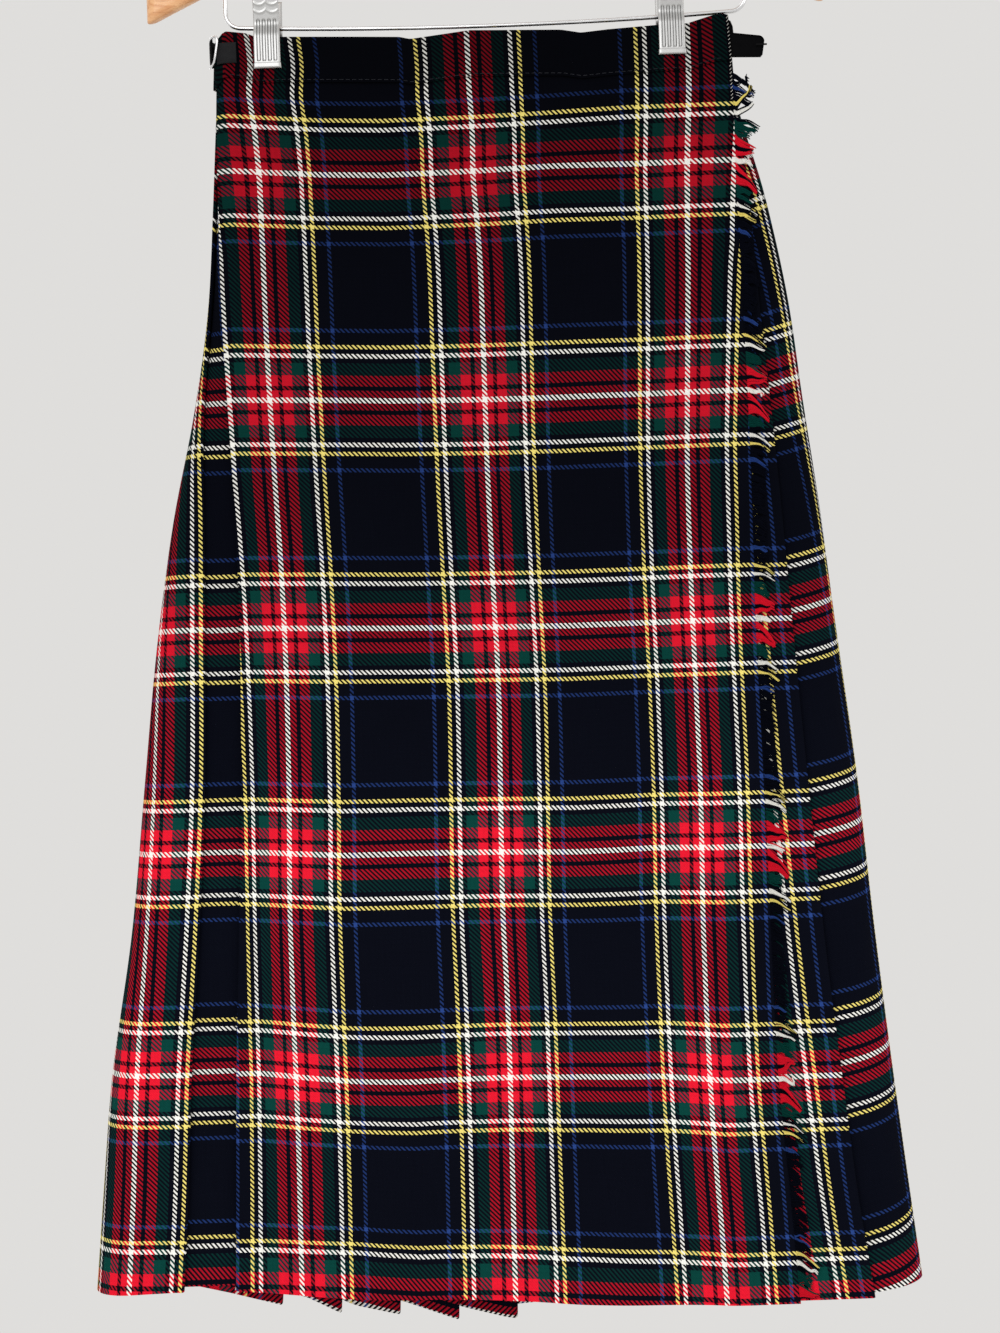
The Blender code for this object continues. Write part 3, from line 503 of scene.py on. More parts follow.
class Paint:
    """One material and the nodes in it."""

    def __init__(self, name, **constants):
        self.mat = bpy.data.materials.new(name)
        self.mat.use_nodes = True
        self.tree = self.mat.node_tree
        self.shader = self.tree.nodes["Principled BSDF"]
        for key, value in constants.items():
            self.shader.inputs[key.replace("_", " ")].default_value = value

    def node(self, kind, settings=None, values=None, out=0):
        """Adds a node, sets it up, then fills its sockets with links or plain values."""
        made = self.tree.nodes.new(kind)
        for key, value in (settings or {}).items():
            if key == "stops":
                self.fill_ramp(made.color_ramp, value)
            else:
                setattr(made, key, value)
        for key, value in (values or {}).items():
            if isinstance(value, Value):
                self.tree.links.new(value.socket, made.inputs[key])
            else:
                made.inputs[key].default_value = value
        return Value(self, made.outputs[out])

    def fill_ramp(self, ramp, stops):
        ramp.interpolation = "CONSTANT"
        while len(ramp.elements) < len(stops):
            ramp.elements.new(1.0)
        for element, (place, colour) in zip(ramp.elements, stops):
            element.position = place
            element.color = colour

    def math(self, operation, *values):
        return self.node("ShaderNodeMath", {"operation": operation}, dict(enumerate(values)))

    def mix(self, share, a, b, blend="MIX"):
        """Colour a going to b as share goes from 0 to 1."""
        settings = {"data_type": "RGBA", "blend_type": blend}
        return self.node("ShaderNodeMix", settings, {0: share, 6: a, 7: b}, out=2)

    def shaded(self, colour, light):
        """The colour times the light."""
        grey = self.node("ShaderNodeCombineColor", values={0: light, 1: light, 2: light})
        return self.mix(1.0, colour, grey, "MULTIPLY")

    def stretched(self, vector, scales):
        """The vector times a scale for each axis."""
        return self.node("ShaderNodeVectorMath", {"operation": "MULTIPLY"}, {0: vector, 1: scales})

    def steps(self, value, low, high):
        """0 below low, 1 above high and smooth between."""
        settings = {"interpolation_type": "SMOOTHSTEP"}
        return self.node("ShaderNodeMapRange", settings, {0: value, 1: low, 2: high, 3: 0.0, 4: 1.0})

    def place(self):
        return self.node("ShaderNodeTexCoord", out=3)

    def weave(self):
        """U and V of the cloth's own map."""
        uv = self.node("ShaderNodeUVMap", {"uv_map": "weave"})
        return self.split(uv)

    def split(self, vector):
        parts = self.node("ShaderNodeSeparateXYZ", values={0: vector})
        return [Value(self, parts.socket.node.outputs[i]) for i in range(3)]

    def join(self, x, y, z=0.0):
        return self.node("ShaderNodeCombineXYZ", values={0: x, 1: y, 2: z})

    def noise(self, vector, scale, detail=2.0, rough=0.5):
        """A cloudy value from 0 to 1."""
        return self.node("ShaderNodeTexNoise", values={"Vector": vector, "Scale": scale, "Detail": detail,
                                                       "Roughness": rough})

    def wire(self, key, value):
        self.tree.links.new(value.socket, self.shader.inputs[key])

    def bump(self, height, distance, strength=1.0):
        self.wire("Normal", self.node("ShaderNodeBump", values={"Strength": strength, "Distance": distance,
                                                                "Height": height}))


def linear(red, green, blue):
    """Scene colour of a display colour given in 0 to 255."""
    c = np.array((red, green, blue)) / 255.0
    return tuple(np.where(c <= 0.04045, c / 12.92, ((c + 0.055) / 1.055) ** 2.4))


# Each yarn's colour, and how much brighter than its neighbours it stays where it lies underneath,
# which also spares it painted shade from darker neighbours and near the waist.
WHITE = (*linear(250, 249, 243), 1.0)
YELLOW = (*linear(247, 228, 126), 1.0)
RED = (*linear(226, 26, 48), 0.0)
GREEN = (*linear(8, 62, 56), 0.0)
BLACK = (*linear(8, 10, 20), 0.0)
BLUE = (*linear(40, 66, 130), 0.15)

# Half of the pattern: where each stripe starts, in millimetres from the middle of the red, and its yarn.
STRIPE_STARTS = (
    (0.0, WHITE), (1.4, RED), (5.8, BLACK), (8.8, RED), (15.4, GREEN), (23.1, BLACK), (25.9, WHITE),
    (28.8, BLACK), (31.8, YELLOW), (34.3, BLACK), (41.9, BLUE), (44.6, BLACK),
)
TWILLS_ACROSS = 44.0
TWILLS_DOWN = 47.0


def yarn_colour(p, count):
    """The yarn at a place, from its count of pattern repeats: the pattern mirrored about its middles. Returns
    its colour and its brightness."""
    half = p.math("PINGPONG", count, 0.5) * 2.0
    stops = [(start / (1000.0 * SETT / 2.0), colour) for start, colour in STRIPE_STARTS]
    colour = p.node("ShaderNodeValToRGB", {"stops": stops}, {0: half})
    return colour, Value(p, colour.socket.node.outputs[1])


def tartan(name, shade=1.0):
    """Two over two twill: frac(44 U + 47 V) tells which yarn lies on top. The darker yarn's colour is mixed
    in a little, more under red and green than under white and yellow: partly the other yarn showing through
    and partly painted shade on the floats from darker neighbours. The grooves between floats carry painted
    shade, dark yarns are darker near the waist with painted shade, and shade darkens the whole copy as
    painted shade."""
    p = Paint(name, Roughness=0.95, Specular_IOR_Level=0.03)
    u, v, _ = p.weave()
    flat = p.join(u * SETT, v * BAND_PITCH)
    drift = p.noise(flat, 30.0, 2.0) - 0.5
    phase = p.math("FRACT", u * TWILLS_ACROSS + v * TWILLS_DOWN + drift * 0.3)
    float_side = p.math("ABSOLUTE", phase * 2.0 - 1.0)
    weft_on_top = p.steps(float_side, 0.42, 0.58)
    ridge = p.math("ABSOLUTE", float_side - 0.5) * 2.0
    warp, warp_bright = yarn_colour(p, u + drift * 0.0016)
    weft, weft_bright = yarn_colour(p, v + drift * 0.0016)
    top = p.mix(weft_on_top, warp, weft)
    bright = warp_bright * (1.0 - weft_on_top) + weft_bright * weft_on_top
    # The darker of the two yarns, mixed in below: partly the under yarn showing through, partly painted shade
    # on the floats.
    under = p.mix(1.0, warp, weft, "DARKEN")
    colour = p.mix(0.52 - bright * 0.44, top, under)
    streak_u = p.noise(p.join(p.math("FLOOR", u * (TWILLS_ACROSS * 4.0)), v * 6.0), 0.9, 1.0)
    streak_v = p.noise(p.join(u * 6.0, p.math("FLOOR", v * (TWILLS_DOWN * 4.0))), 0.9, 1.0)
    streak = streak_u * (1.0 - weft_on_top) + streak_v * weft_on_top
    cloud = p.noise(flat, 9.0, 4.0, 0.6)
    fuzz = p.noise(flat, 900.0, 2.0, 0.7)
    below = WAIST_Z - p.split(p.place())[2]
    # Painted shade: the cloth is painted darker towards the waist, the bright yarns less so.
    painted_waist_shade = 0.36 + p.steps(below, 0.01, 0.28) * 0.30 + p.steps(below, 0.25, 0.60) * 0.46
    painted_waist_shade = painted_waist_shade + (1.0 - painted_waist_shade) * bright * 0.62
    # The ridge term is painted shade: darker along the grooves between floats.
    light = (0.60 + streak * 0.44 + cloud * 0.24 + fuzz * 0.16 + ridge * 0.10) * painted_waist_shade * shade
    p.wire("Base Color", p.shaded(colour, light))
    p.wire("Roughness", 0.88 + fuzz * 0.12)
    p.bump(ridge * 0.8 + fuzz * 0.5 + streak * 0.25, 0.00026, 0.7)
    return p.mat


def fringe_yarn():
    """Loose weft yarn: the colour of its own row, twisted along its length, the twist's grooves in painted
    shade. U runs along the yarn.
    """
    p = Paint("fringe_yarn_twisted", Roughness=0.95, Specular_IOR_Level=0.02)
    u, v, _ = p.weave()
    twist = p.math("ABSOLUTE", p.math("FRACT", u * 1200.0) * 2.0 - 1.0)
    hairs = p.noise(p.join(u * 900.0, v * 500.0), 1.0, 2.0)
    colour, _ = yarn_colour(p, v)
    # The twist term is painted shade, darker in the grooves between turns.
    light = 0.46 + hairs * 0.5 + twist * 0.2
    p.wire("Base Color", p.shaded(colour, light))
    p.wire("Roughness", 0.88 + hairs * 0.1)
    p.bump(twist * 0.7 + hairs, 0.0002, 0.7)
    return p.mat


def plain_thread(name, colour):
    p = Paint(name, Roughness=0.85)
    twist = p.noise(p.place(), 2500.0, 2.0)
    p.wire("Base Color", p.mix(twist, (*[c * 0.7 for c in colour], 1.0), (*colour, 1.0)))
    p.wire("Roughness", 0.75 + twist * 0.2)
    p.bump(twist, 0.0001, 0.6)
    return p.mat


def black_leather(name, dark, pale, shine):
    """Soft grain, paler and smoother in spots."""
    p = Paint(name, Specular_IOR_Level=shine)
    place = p.place()
    to_edge = {"feature": "DISTANCE_TO_EDGE"}
    cells = p.node("ShaderNodeTexVoronoi", to_edge, {"Vector": place, "Scale": 1400.0})
    crease = p.steps(cells, 0.0, 0.12)
    pale_spots = p.noise(place, 160.0, 4.0, 0.6)
    deep = (*linear(dark, dark, dark + 1), 1.0)
    pale_leather = (*linear(pale, pale, pale + 2), 1.0)
    p.wire("Base Color", p.mix(pale_spots, deep, pale_leather))
    p.wire("Roughness", 0.42 + pale_spots * 0.3)
    p.bump(crease * 0.6 + pale_spots * 0.5, 0.00012, 0.7)
    return p.mat


def bright_wire(name, colour, rough):
    """Drawn wire, with faint marks along it."""
    p = Paint(name, Metallic=1.0)
    place = p.place()
    marks = p.noise(p.stretched(place, (9.0, 90.0, 90.0)), 9.0, 3.0)
    haze = p.noise(place, 60.0, 3.0)
    p.wire("Base Color", p.mix(marks, (*[c * 0.82 for c in colour], 1.0), (*colour, 1.0)))
    p.wire("Roughness", rough + haze * 0.16)
    p.bump(marks, 0.00004, 0.4)
    return p.mat


def ribbed_silver(name, centre):
    """Satin silver with dark lines of painted shade down both sides of each groove, from the distance to the
    nearest groove's middle."""
    p = Paint(name, Metallic=1.0)
    place = p.place()
    x, _, z = p.split(place)
    off = p.math("PINGPONG", p.math("ABSOLUTE", x - centre) + GROOVE_STEP / 2.0, GROOVE_STEP / 2.0)
    side = p.math("ABSOLUTE", off - GROOVE_SIDE)
    down = z - WAIST_Z
    within = p.steps(down, -0.0270, -0.0262) * (1.0 - p.steps(down, 0.0006, 0.0016))
    within = within * (1.0 - p.steps(p.math("ABSOLUTE", x - centre), 0.0068, 0.0070))
    # Painted shade along both sides of each groove.
    dark = (1.0 - p.steps(side, 0.00012, 0.00036)) * within
    haze = p.noise(place, 60.0, 3.0)
    p.wire("Base Color", p.mix(dark * 0.85, (0.55, 0.55, 0.545, 1.0), (0.10, 0.10, 0.10, 1.0)))
    p.wire("Roughness", 0.36 + haze * 0.12)
    p.bump(haze, 0.00004, 0.3)
    return p.mat


def varnished_wood():
    """Pale wood under clear varnish: long grain along the arms, darker lines and pores."""
    p = Paint("clear_varnished_wood_grain", Coat_Weight=0.35, Coat_Roughness=0.12)
    place = p.place()
    wobble = p.noise(p.stretched(place, (6.0, 60.0, 60.0)), 1.4, 3.0)
    lines = p.math("FRACT", wobble * 7.0)
    grain = p.math("ABSOLUTE", lines * 2.0 - 1.0)
    pores = p.noise(p.stretched(place, (20.0, 500.0, 500.0)), 3.0, 2.0)
    pale = p.mix(grain, (*linear(214, 150, 98), 1.0), (*linear(238, 184, 132), 1.0))
    dark = p.steps(pores, 0.58, 0.72)
    p.wire("Base Color", p.mix(dark * 0.45, pale, (*linear(160, 98, 58), 1.0)))
    p.wire("Roughness", 0.34 + pores * 0.2)
    p.bump(grain * 0.3 + dark, 0.00006, 0.5)
    return p.mat


def knots(places, values, s):
    """Value at s of straight runs between knots, with one row of knots for each row of s."""
    out = values[:, :1] + np.zeros_like(s)
    for i in range(places.shape[1] - 1):
        share = (s - places[:, i:i + 1]) / (places[:, i + 1:i + 2] - places[:, i:i + 1])
        out += np.clip(share, 0.0, 1.0) * (values[:, i + 1:i + 2] - values[:, i:i + 1])
    return out


def front_weave(plan, s):
    """Weave across the front at s, from the three red stripes' middles and the apron's two edges."""
    drops = plan.drop[:, 0]
    stripes = [-eased(plan.drop, STRIPES[:, 0], STRIPES[:, i]) for i in (3, 2, 1)]
    places = np.concatenate([plan.edge, *stripes, plan.fold], axis=1)
    ones = np.ones_like(drops)
    at_edge = across(EDGE_WEAVE, drops)
    at_fold = across(FOLD_WEAVE, drops)
    values = np.stack([at_edge, -SETT * ones, 0.0 * ones, SETT * ones, at_fold], axis=1)
    return knots(places, values, s)


def rows_at(x, drop):
    """Repeats down the cloth at places: straight runs from row to row, each row's drop taken at x."""
    drops = [np.interp(x, ROW_PLACES, row[1:]) for row in ROWS]
    out = ROWS[0, 0] + np.minimum(drop - drops[0], 0.0) / PITCH_ABOVE
    for i in range(len(ROWS) - 1):
        share = np.clip((drop - drops[i]) / (drops[i + 1] - drops[i]), 0.0, 1.0)
        out = out + share * (ROWS[i + 1, 0] - ROWS[i, 0])
    return out + np.maximum(drop - drops[-1], 0.0) / PITCH_BELOW


def over_apron(plan):
    p = plan.pitch
    stops = (
        (plan.edge, 0.0, 0, 0.0),
        (plan.fold, 0.0, 150, p / 2),
        (plan.fold, p, 1, p / 2),
        (plan.fold - RETURN, p, 24, 0.0),
    )
    s, n, marks = track(plan, stops)
    length = along(s, n)
    back = across(FOLD_WEAVE, plan.drop) + length - length[:, marks[1]:marks[1] + 1]
    index = np.arange(s.shape[1])[None, :]
    u = np.where(index <= marks[1], front_weave(plan, np.minimum(s, plan.fold)), back)
    return s, n, u, 0.0


def pleated_back(plan):
    """The hidden run under the apron's return, the first pleat round the left side, the knife pleats over the
    back and the last pleat round the right side."""
    p = plan.pitch
    turn = p / 2
    width = (plan.last - plan.back_first) / PLEATS_BACK
    slope = 2.0 * p / width
    inner = plan.first + np.maximum(FIRST_TUCK_LEAST, FIRST_TUCK_AT_WAIST - plan.recess)

    def deep(s):
        share = np.clip((s - plan.first) / (plan.back_first - plan.first), 0.0, 1.0)
        return 2.0 * p * share + slope * np.maximum(s - plan.back_first, 0.0)

    halfway = (plan.first + inner) / 2.0
    reach = plan.back_first + (SETT - (plan.back_first - plan.first)) / 2.0
    reach_depth = slope * (reach - plan.back_first)
    stops = [
        (plan.fold - RETURN, 2 * p, 0, 0.0),
        (plan.fold, 2 * p, 14, 0.0),
        (plan.fold + plan.recess / 2.0, 2 * p, 3, 0.0),
        (plan.first, 2 * p, 3, 0.0),
        (halfway, 2 * p + deep(halfway), 3, 0.0),
        (inner, 2 * p + deep(inner), 3, turn),
        (inner, p + deep(inner), 1, turn),
        (halfway, p + deep(halfway), 3, 0.0),
        (plan.first, p, 3, turn),
        (plan.first, 0.0, 1, turn),
        (plan.back_first, 2 * p, 34, 0.0),
        (reach, 2 * p + reach_depth, 8, turn),
        (reach, p + reach_depth, 1, turn),
        (plan.back_first, p, 8, turn),
        (plan.back_first, 0.0, 1, turn),
    ]
    first_fold = 9
    back_fold = 14
    for k in range(PLEATS_BACK):
        here = plan.back_first + k * width
        tuck = np.minimum(here + width + (SETT - width) / 2.0, plan.s_right_back - LAST_TUCK_END)
        depth = slope * (tuck - here)
        stops += [
            (tuck, depth, 13, turn),
            (tuck, depth - p, 1, turn),
            (here + width, p, 6, turn),
            (here + width, 0.0, 1, turn),
        ]
    last_fold = len(stops) - 1
    stops += [
        (plan.s_right_back, LAST_TUCK_DEPTH * p, 6, 0.0),
        (plan.under, 3 * p, 34, 0.0),
        (plan.around + plan.edge + LAST_TUCK_CELLS * plan.cell, 3 * p, 12, 0.0),
    ]
    s, n, marks = track(plan, stops)
    length = along(s, n)
    u = FIRST_PLEAT_WEAVE + length - length[:, marks[first_fold]:marks[first_fold] + 1]
    late = marks[last_fold]
    index = np.arange(s.shape[1])[None, :]
    last = FIRST_PLEAT_WEAVE + (PLEATS_BACK + 1) * SETT + length - length[:, late:late + 1]
    is_last = index >= late
    u = np.where(is_last, last, u)
    row_slope = LAST_SLOPE + (LAST_SLOPE_AT_HEM - LAST_SLOPE) * smoothstep((plan.drop - 0.6) / 0.2)
    away = np.maximum(plan.under - s, 0.0)
    rise = (LAST_RISE + row_slope * np.minimum(away, LAST_SLOPE_REACH)) * smoothstep((0.14 - away) / 0.08)
    return s, n, u, np.where(is_last, rise, np.where(index > marks[back_fold], BACK_RISE, 0.0))


def under_apron(plan):
    p = plan.pitch
    start = plan.around + plan.edge
    stops = (
        (start + LAST_TUCK_CELLS * plan.cell, 2 * p, 0, 0.0),
        (plan.under, 2 * p, 16, p / 2),
        (plan.under, p, 1, p / 2),
        (start + (FRONT_CELLS - 1) * plan.cell, p, 90, 0.0),
        (plan.around + plan.fold - RETURN, 3 * p, 8, 0.0),
        (plan.around + plan.fold - RETURN * (1.0 - UNDER_END_SHARE), 3 * p, 12, 0.0),
    )
    s, n, marks = track(plan, stops)
    length = along(s, n)
    u = UNDER_FOLD_WEAVE + length - length[:, marks[2]:marks[2] + 1]
    return s, n, u, 0.0


def band_front(plan):
    stops = ((plan.edge, -plan.pitch, 0, 0.0), (plan.fold, -plan.pitch, 150, 0.0))
    s, n, _ = track(plan, stops)
    return s, n, front_weave(plan, s), 0.0


def band_back(plan):
    stops = (
        (plan.fold + BAND_BACK_START, -plan.pitch, 0, 0.0),
        (plan.s_left_back, -plan.pitch, 20, 0.0),
        (plan.s_right_back, -plan.pitch, 130, 0.0),
        (plan.s_right_back + plan.turn * BAND_BACK_TURN, -plan.pitch, 12, 0.0),
    )
    s, n, _ = track(plan, stops)
    return s, n, along(s, n) + across(FOLD_WEAVE, plan.drop), 0.0


def cloth(name, section, drops, mat, is_band=False):
    """One stretch of cloth. A band is cut from the dark square, so its rows show no stripes. The other layers
    share their rows: each place takes the row of the front's place at the same share of the way down."""
    plan = Plan(drops)
    s, n, u, rise = section(plan)
    points = plan.place(s, n)
    if is_band:
        v = BAND_ROW + (plan.drop - BAND / 2.0) / BAND_PITCH + 0.0 * u
    else:
        x = points[..., 0]
        top = across(FRONT_TOP, x)
        v = rows_at(x, top + plan.drop / DROP * (across(FRONT_HEM, x) - top) + rise)
    piece = shell(name, points, np.stack([u / SETT, v], axis=-1), mat)
    finish(piece, "tartan", name.removesuffix("_cloth"))
    return piece


def finish(piece, slot, *nodes):
    """The piece rides on the one body and stands for its nodes; slot is not used."""
    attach(piece, "root")
    if nodes:
        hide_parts(*nodes)


def fringe(mat):
    """Loose yarns along the apron's free edge. Yarn t from root (0) to tip (1) goes out by length * (t - 0.12
    t^2) along the outline, down by droop * t^1.6 and towards its lock's middle, and waves a little. Near the
    waist, where the outline turns away, the yarns stand out straight to the side."""
    rng = np.random.default_rng(11)
    roots = np.linspace(FRINGE_TOP, FRINGE_BOTTOM, FRINGE_YARNS) + rng.normal(0.0, 0.0003, FRINGE_YARNS)
    plan = Plan(roots)
    root = plan.place(plan.edge, 0.0 * plan.edge)[:, 0]
    below = WAIST_Z - root[:, 2]
    row = rows_at(root[:, 0], below)
    from_red = 1000.0 * SETT * (row - np.round(row))
    far = np.abs(from_red)
    is_line = (far > 25.2) & (far < 35.2)
    is_red = far < 15.6
    is_middle = far < 1.9
    is_lower_red = is_red & (from_red > 1.9)
    lock = np.floor(below / FRINGE_LOCK + 0.35 * np.sin(below * 260.0))
    line = np.where(far < 30.2, 1.0, 2.0) + 4.0 * np.sign(from_red) + 16.0 * np.round(row)
    red = np.where(is_middle, 0.0, np.sign(from_red)) + 5000.0 + 16.0 * np.round(row)
    lock = np.where(is_line, 1000.0 + line, np.where(is_red, red, lock))
    _, which = np.unique(lock, return_inverse=True)
    middle = np.bincount(which, below) / np.bincount(which)
    each = rng.random((5, len(middle)))[:, which]
    pull = (middle[which] - below) * np.where(is_line | is_red, 0.78, 0.25)
    tangle = np.ones_like(below)
    for drop_at, half_height, much in TANGLES:
        tangle += much * np.exp(-(((below - drop_at) / half_height) ** 2))
    top = smoothstep((0.090 - below) / 0.02)
    length = np.where(is_red, FRINGE_RED_LENGTH, 0.0085 + 0.0030 * each[0])
    length = np.where(is_line, FRINGE_LINE_LENGTH, length)
    length = length * rng.uniform(0.90, 1.06, FRINGE_YARNS) * (1.0 + 0.70 * top * (1.0 - is_line))
    droop = np.where(is_line, 0.0050 + 0.003 * each[1], 0.0015 + 0.0035 * each[1])
    droop = np.where(is_red, 0.0030, droop)
    droop = np.where(is_lower_red, 0.0100, droop)
    droop = droop * (1.0 - 2.6 * top * is_line) + rng.normal(0.0, 0.0004, FRINGE_YARNS)
    t = np.linspace(0.0, 1.0, FRINGE_STEPS)[None, :]
    column = [v[:, None] for v in (length, droop, pull, tangle, each[2], each[3], each[4])]
    length, droop, pull, tangle, turn, beat, lift = column
    own = rng.uniform(0.0, 1.0, (FRINGE_YARNS, 1))
    start = turn + 0.12 * own
    wave = np.sin(2.0 * np.pi * (t * (0.6 + beat) + start)) - np.sin(2.0 * np.pi * start)
    out = length * (t - 0.12 * t**2) + 0.0005 * tangle * wave * t
    out = out - 0.0060 * np.where(is_middle, 1.0, 0.0)[:, None] * np.maximum(t - 0.7, 0.0) * (1.0 + own)
    down = droop * t**1.6 + pull * t**0.8 + 0.00085 * tangle * wave * t**0.7
    n = -0.0002 - 0.0010 * (0.5 + lift) * np.sin(np.pi * np.minimum(t * 0.8, 1.0)) - 0.0004 * own
    points = plan.place(plan.edge + 0.0004 - out, n + 0.0 * out)
    free = smoothstep((0.130 - below) / 0.05)[:, None]
    points[..., 0] += free * (root[:, None, 0] + out - points[..., 0])
    points[..., 1] += free * (root[:, None, 1] + n + 0.30 * out - points[..., 1])
    points[..., 2] -= down
    radii = 0.00052 * (1.0 - 0.5 * t**3) * (0.85 + 0.3 * own)
    weave = np.stack([out + 0.02 * own, row[:, None] + 0.0 * out], axis=-1)
    piece = strands("apron_fringe_yarns", points, radii, mat, 4, weave)
    finish(piece, "yarn", "apron_fringe")
    return piece


def stitches(name, s, n, drop, mat, lean=0.0, length=0.0026):
    """Small stitches at places (s, n, drop) along the cloth. Each one rises over it as a bow: 4 t (1 - t)."""
    count = len(drop)
    t = np.linspace(-0.5, 0.5, 6)[None, :]
    plan = Plan(drop)
    along_s = length * t * np.cos(lean)
    along_drop = length * t * np.sin(lean)
    points = plan.place(s[:, None] + along_s, n[:, None] - 0.00035 * (1.0 - 4.0 * t**2) + 0.0 * along_s)
    points[..., 2] -= along_drop
    finish(strands(name, points, np.full((count, 6), STITCH_RADIUS), mat, 4), "yarn")


def pad(name, node, s_ends, drops, n, thick, mat):
    """A strap's end lying round the waist: a shell whose thickness falls to nothing at its four edges,
    thick * (1 - |2a - 1|^7)^0.4 across and the same down."""
    a = np.linspace(0.0, 1.0, 33)
    a = 0.5 - 0.5 * np.cos(np.pi * a)
    b = 0.5 - 0.5 * np.cos(np.pi * np.linspace(0.0, 1.0, 17))
    plan = Plan([FASTENING_DROP])
    s = plan.fold + s_ends[0] + (s_ends[1] - s_ends[0]) * a[None, :]
    line = plan.place(s, n + 0.0 * s)
    points = np.repeat(line, len(b), axis=0)
    points[..., 2] = WAIST_Z - (drops[0] + (drops[1] - drops[0]) * b)[:, None]
    edge = (1.0 - np.abs(2.0 * a - 1.0) ** 7)[None, :] * (1.0 - np.abs(2.0 * b - 1.0) ** 7)[:, None]
    finish(shell(name, points, None, mat, thick * np.maximum(edge, 0.002) ** 0.4), "leather", node)


def plate(name, outline, y, thick, bevel, mat, slot, *nodes):
    """A flat plate with rounded edges: its outline is drawn in by bevel * (1 - cos a) while y goes out by
    bevel * sin a, from the middle to each face."""
    outline = np.asarray(outline)
    ahead = np.roll(outline, -1, axis=0) - np.roll(outline, 1, axis=0)
    ahead /= np.linalg.norm(ahead, axis=1, keepdims=True)
    inward = np.stack([-ahead[:, 1], ahead[:, 0]], axis=-1)
    rings = []
    for sign in (-1.0, 1.0):
        for a in np.linspace(0.0, np.pi / 2.0, 5)[::int(-sign)]:
            drawn = outline + inward * bevel * (1.0 - np.cos(a))
            level = np.full(len(outline), y + sign * (thick / 2.0 - bevel + bevel * np.sin(a)))
            rings.append(np.stack([drawn[:, 0], level, drawn[:, 1]], axis=-1))
    count = len(outline)
    faces = [tuple(f) for f in grid_faces(len(rings), count)]
    faces += [tuple(range(count)), tuple((len(rings) - 1) * count + i for i in range(count))[::-1]]
    finish(build_mixed(name, np.concatenate(rings), faces, mat), slot, *nodes)


def strap_outline():
    """The strap at the right waist: an inner end that stands up beside the apron's edge, a top edge that
    falls to a round corner, and a cut corner."""
    x0 = Plan([0.040]).fringe_edge[0, 0] + 0.0003
    x1 = RIGHT_STRAP_END
    top = WAIST_Z - RIGHT_STRAP_DROPS[0]
    low = WAIST_Z - RIGHT_STRAP_DROPS[1]
    round_corner = 0.0042
    angle = np.linspace(0.15, np.pi / 2.0, 10)
    corner_x = x1 - round_corner * (1 - np.cos(angle))
    corner_z = top - 0.0014 - round_corner * (1 - np.sin(angle))
    corner = np.stack([corner_x, corner_z], axis=-1)
    lower = np.array([(x0, low + 0.0006), (x1 - 0.0030, low), (x1 - 0.0016, low + 0.0016)])
    inner = [
        (x0 + 0.0017, top + 0.0007), (x0 + 0.0014, top + 0.0050),
        (x0, top + 0.0086), (x0 - 0.0014, top + 0.0088),
    ]
    return np.concatenate([lower, corner, inner])


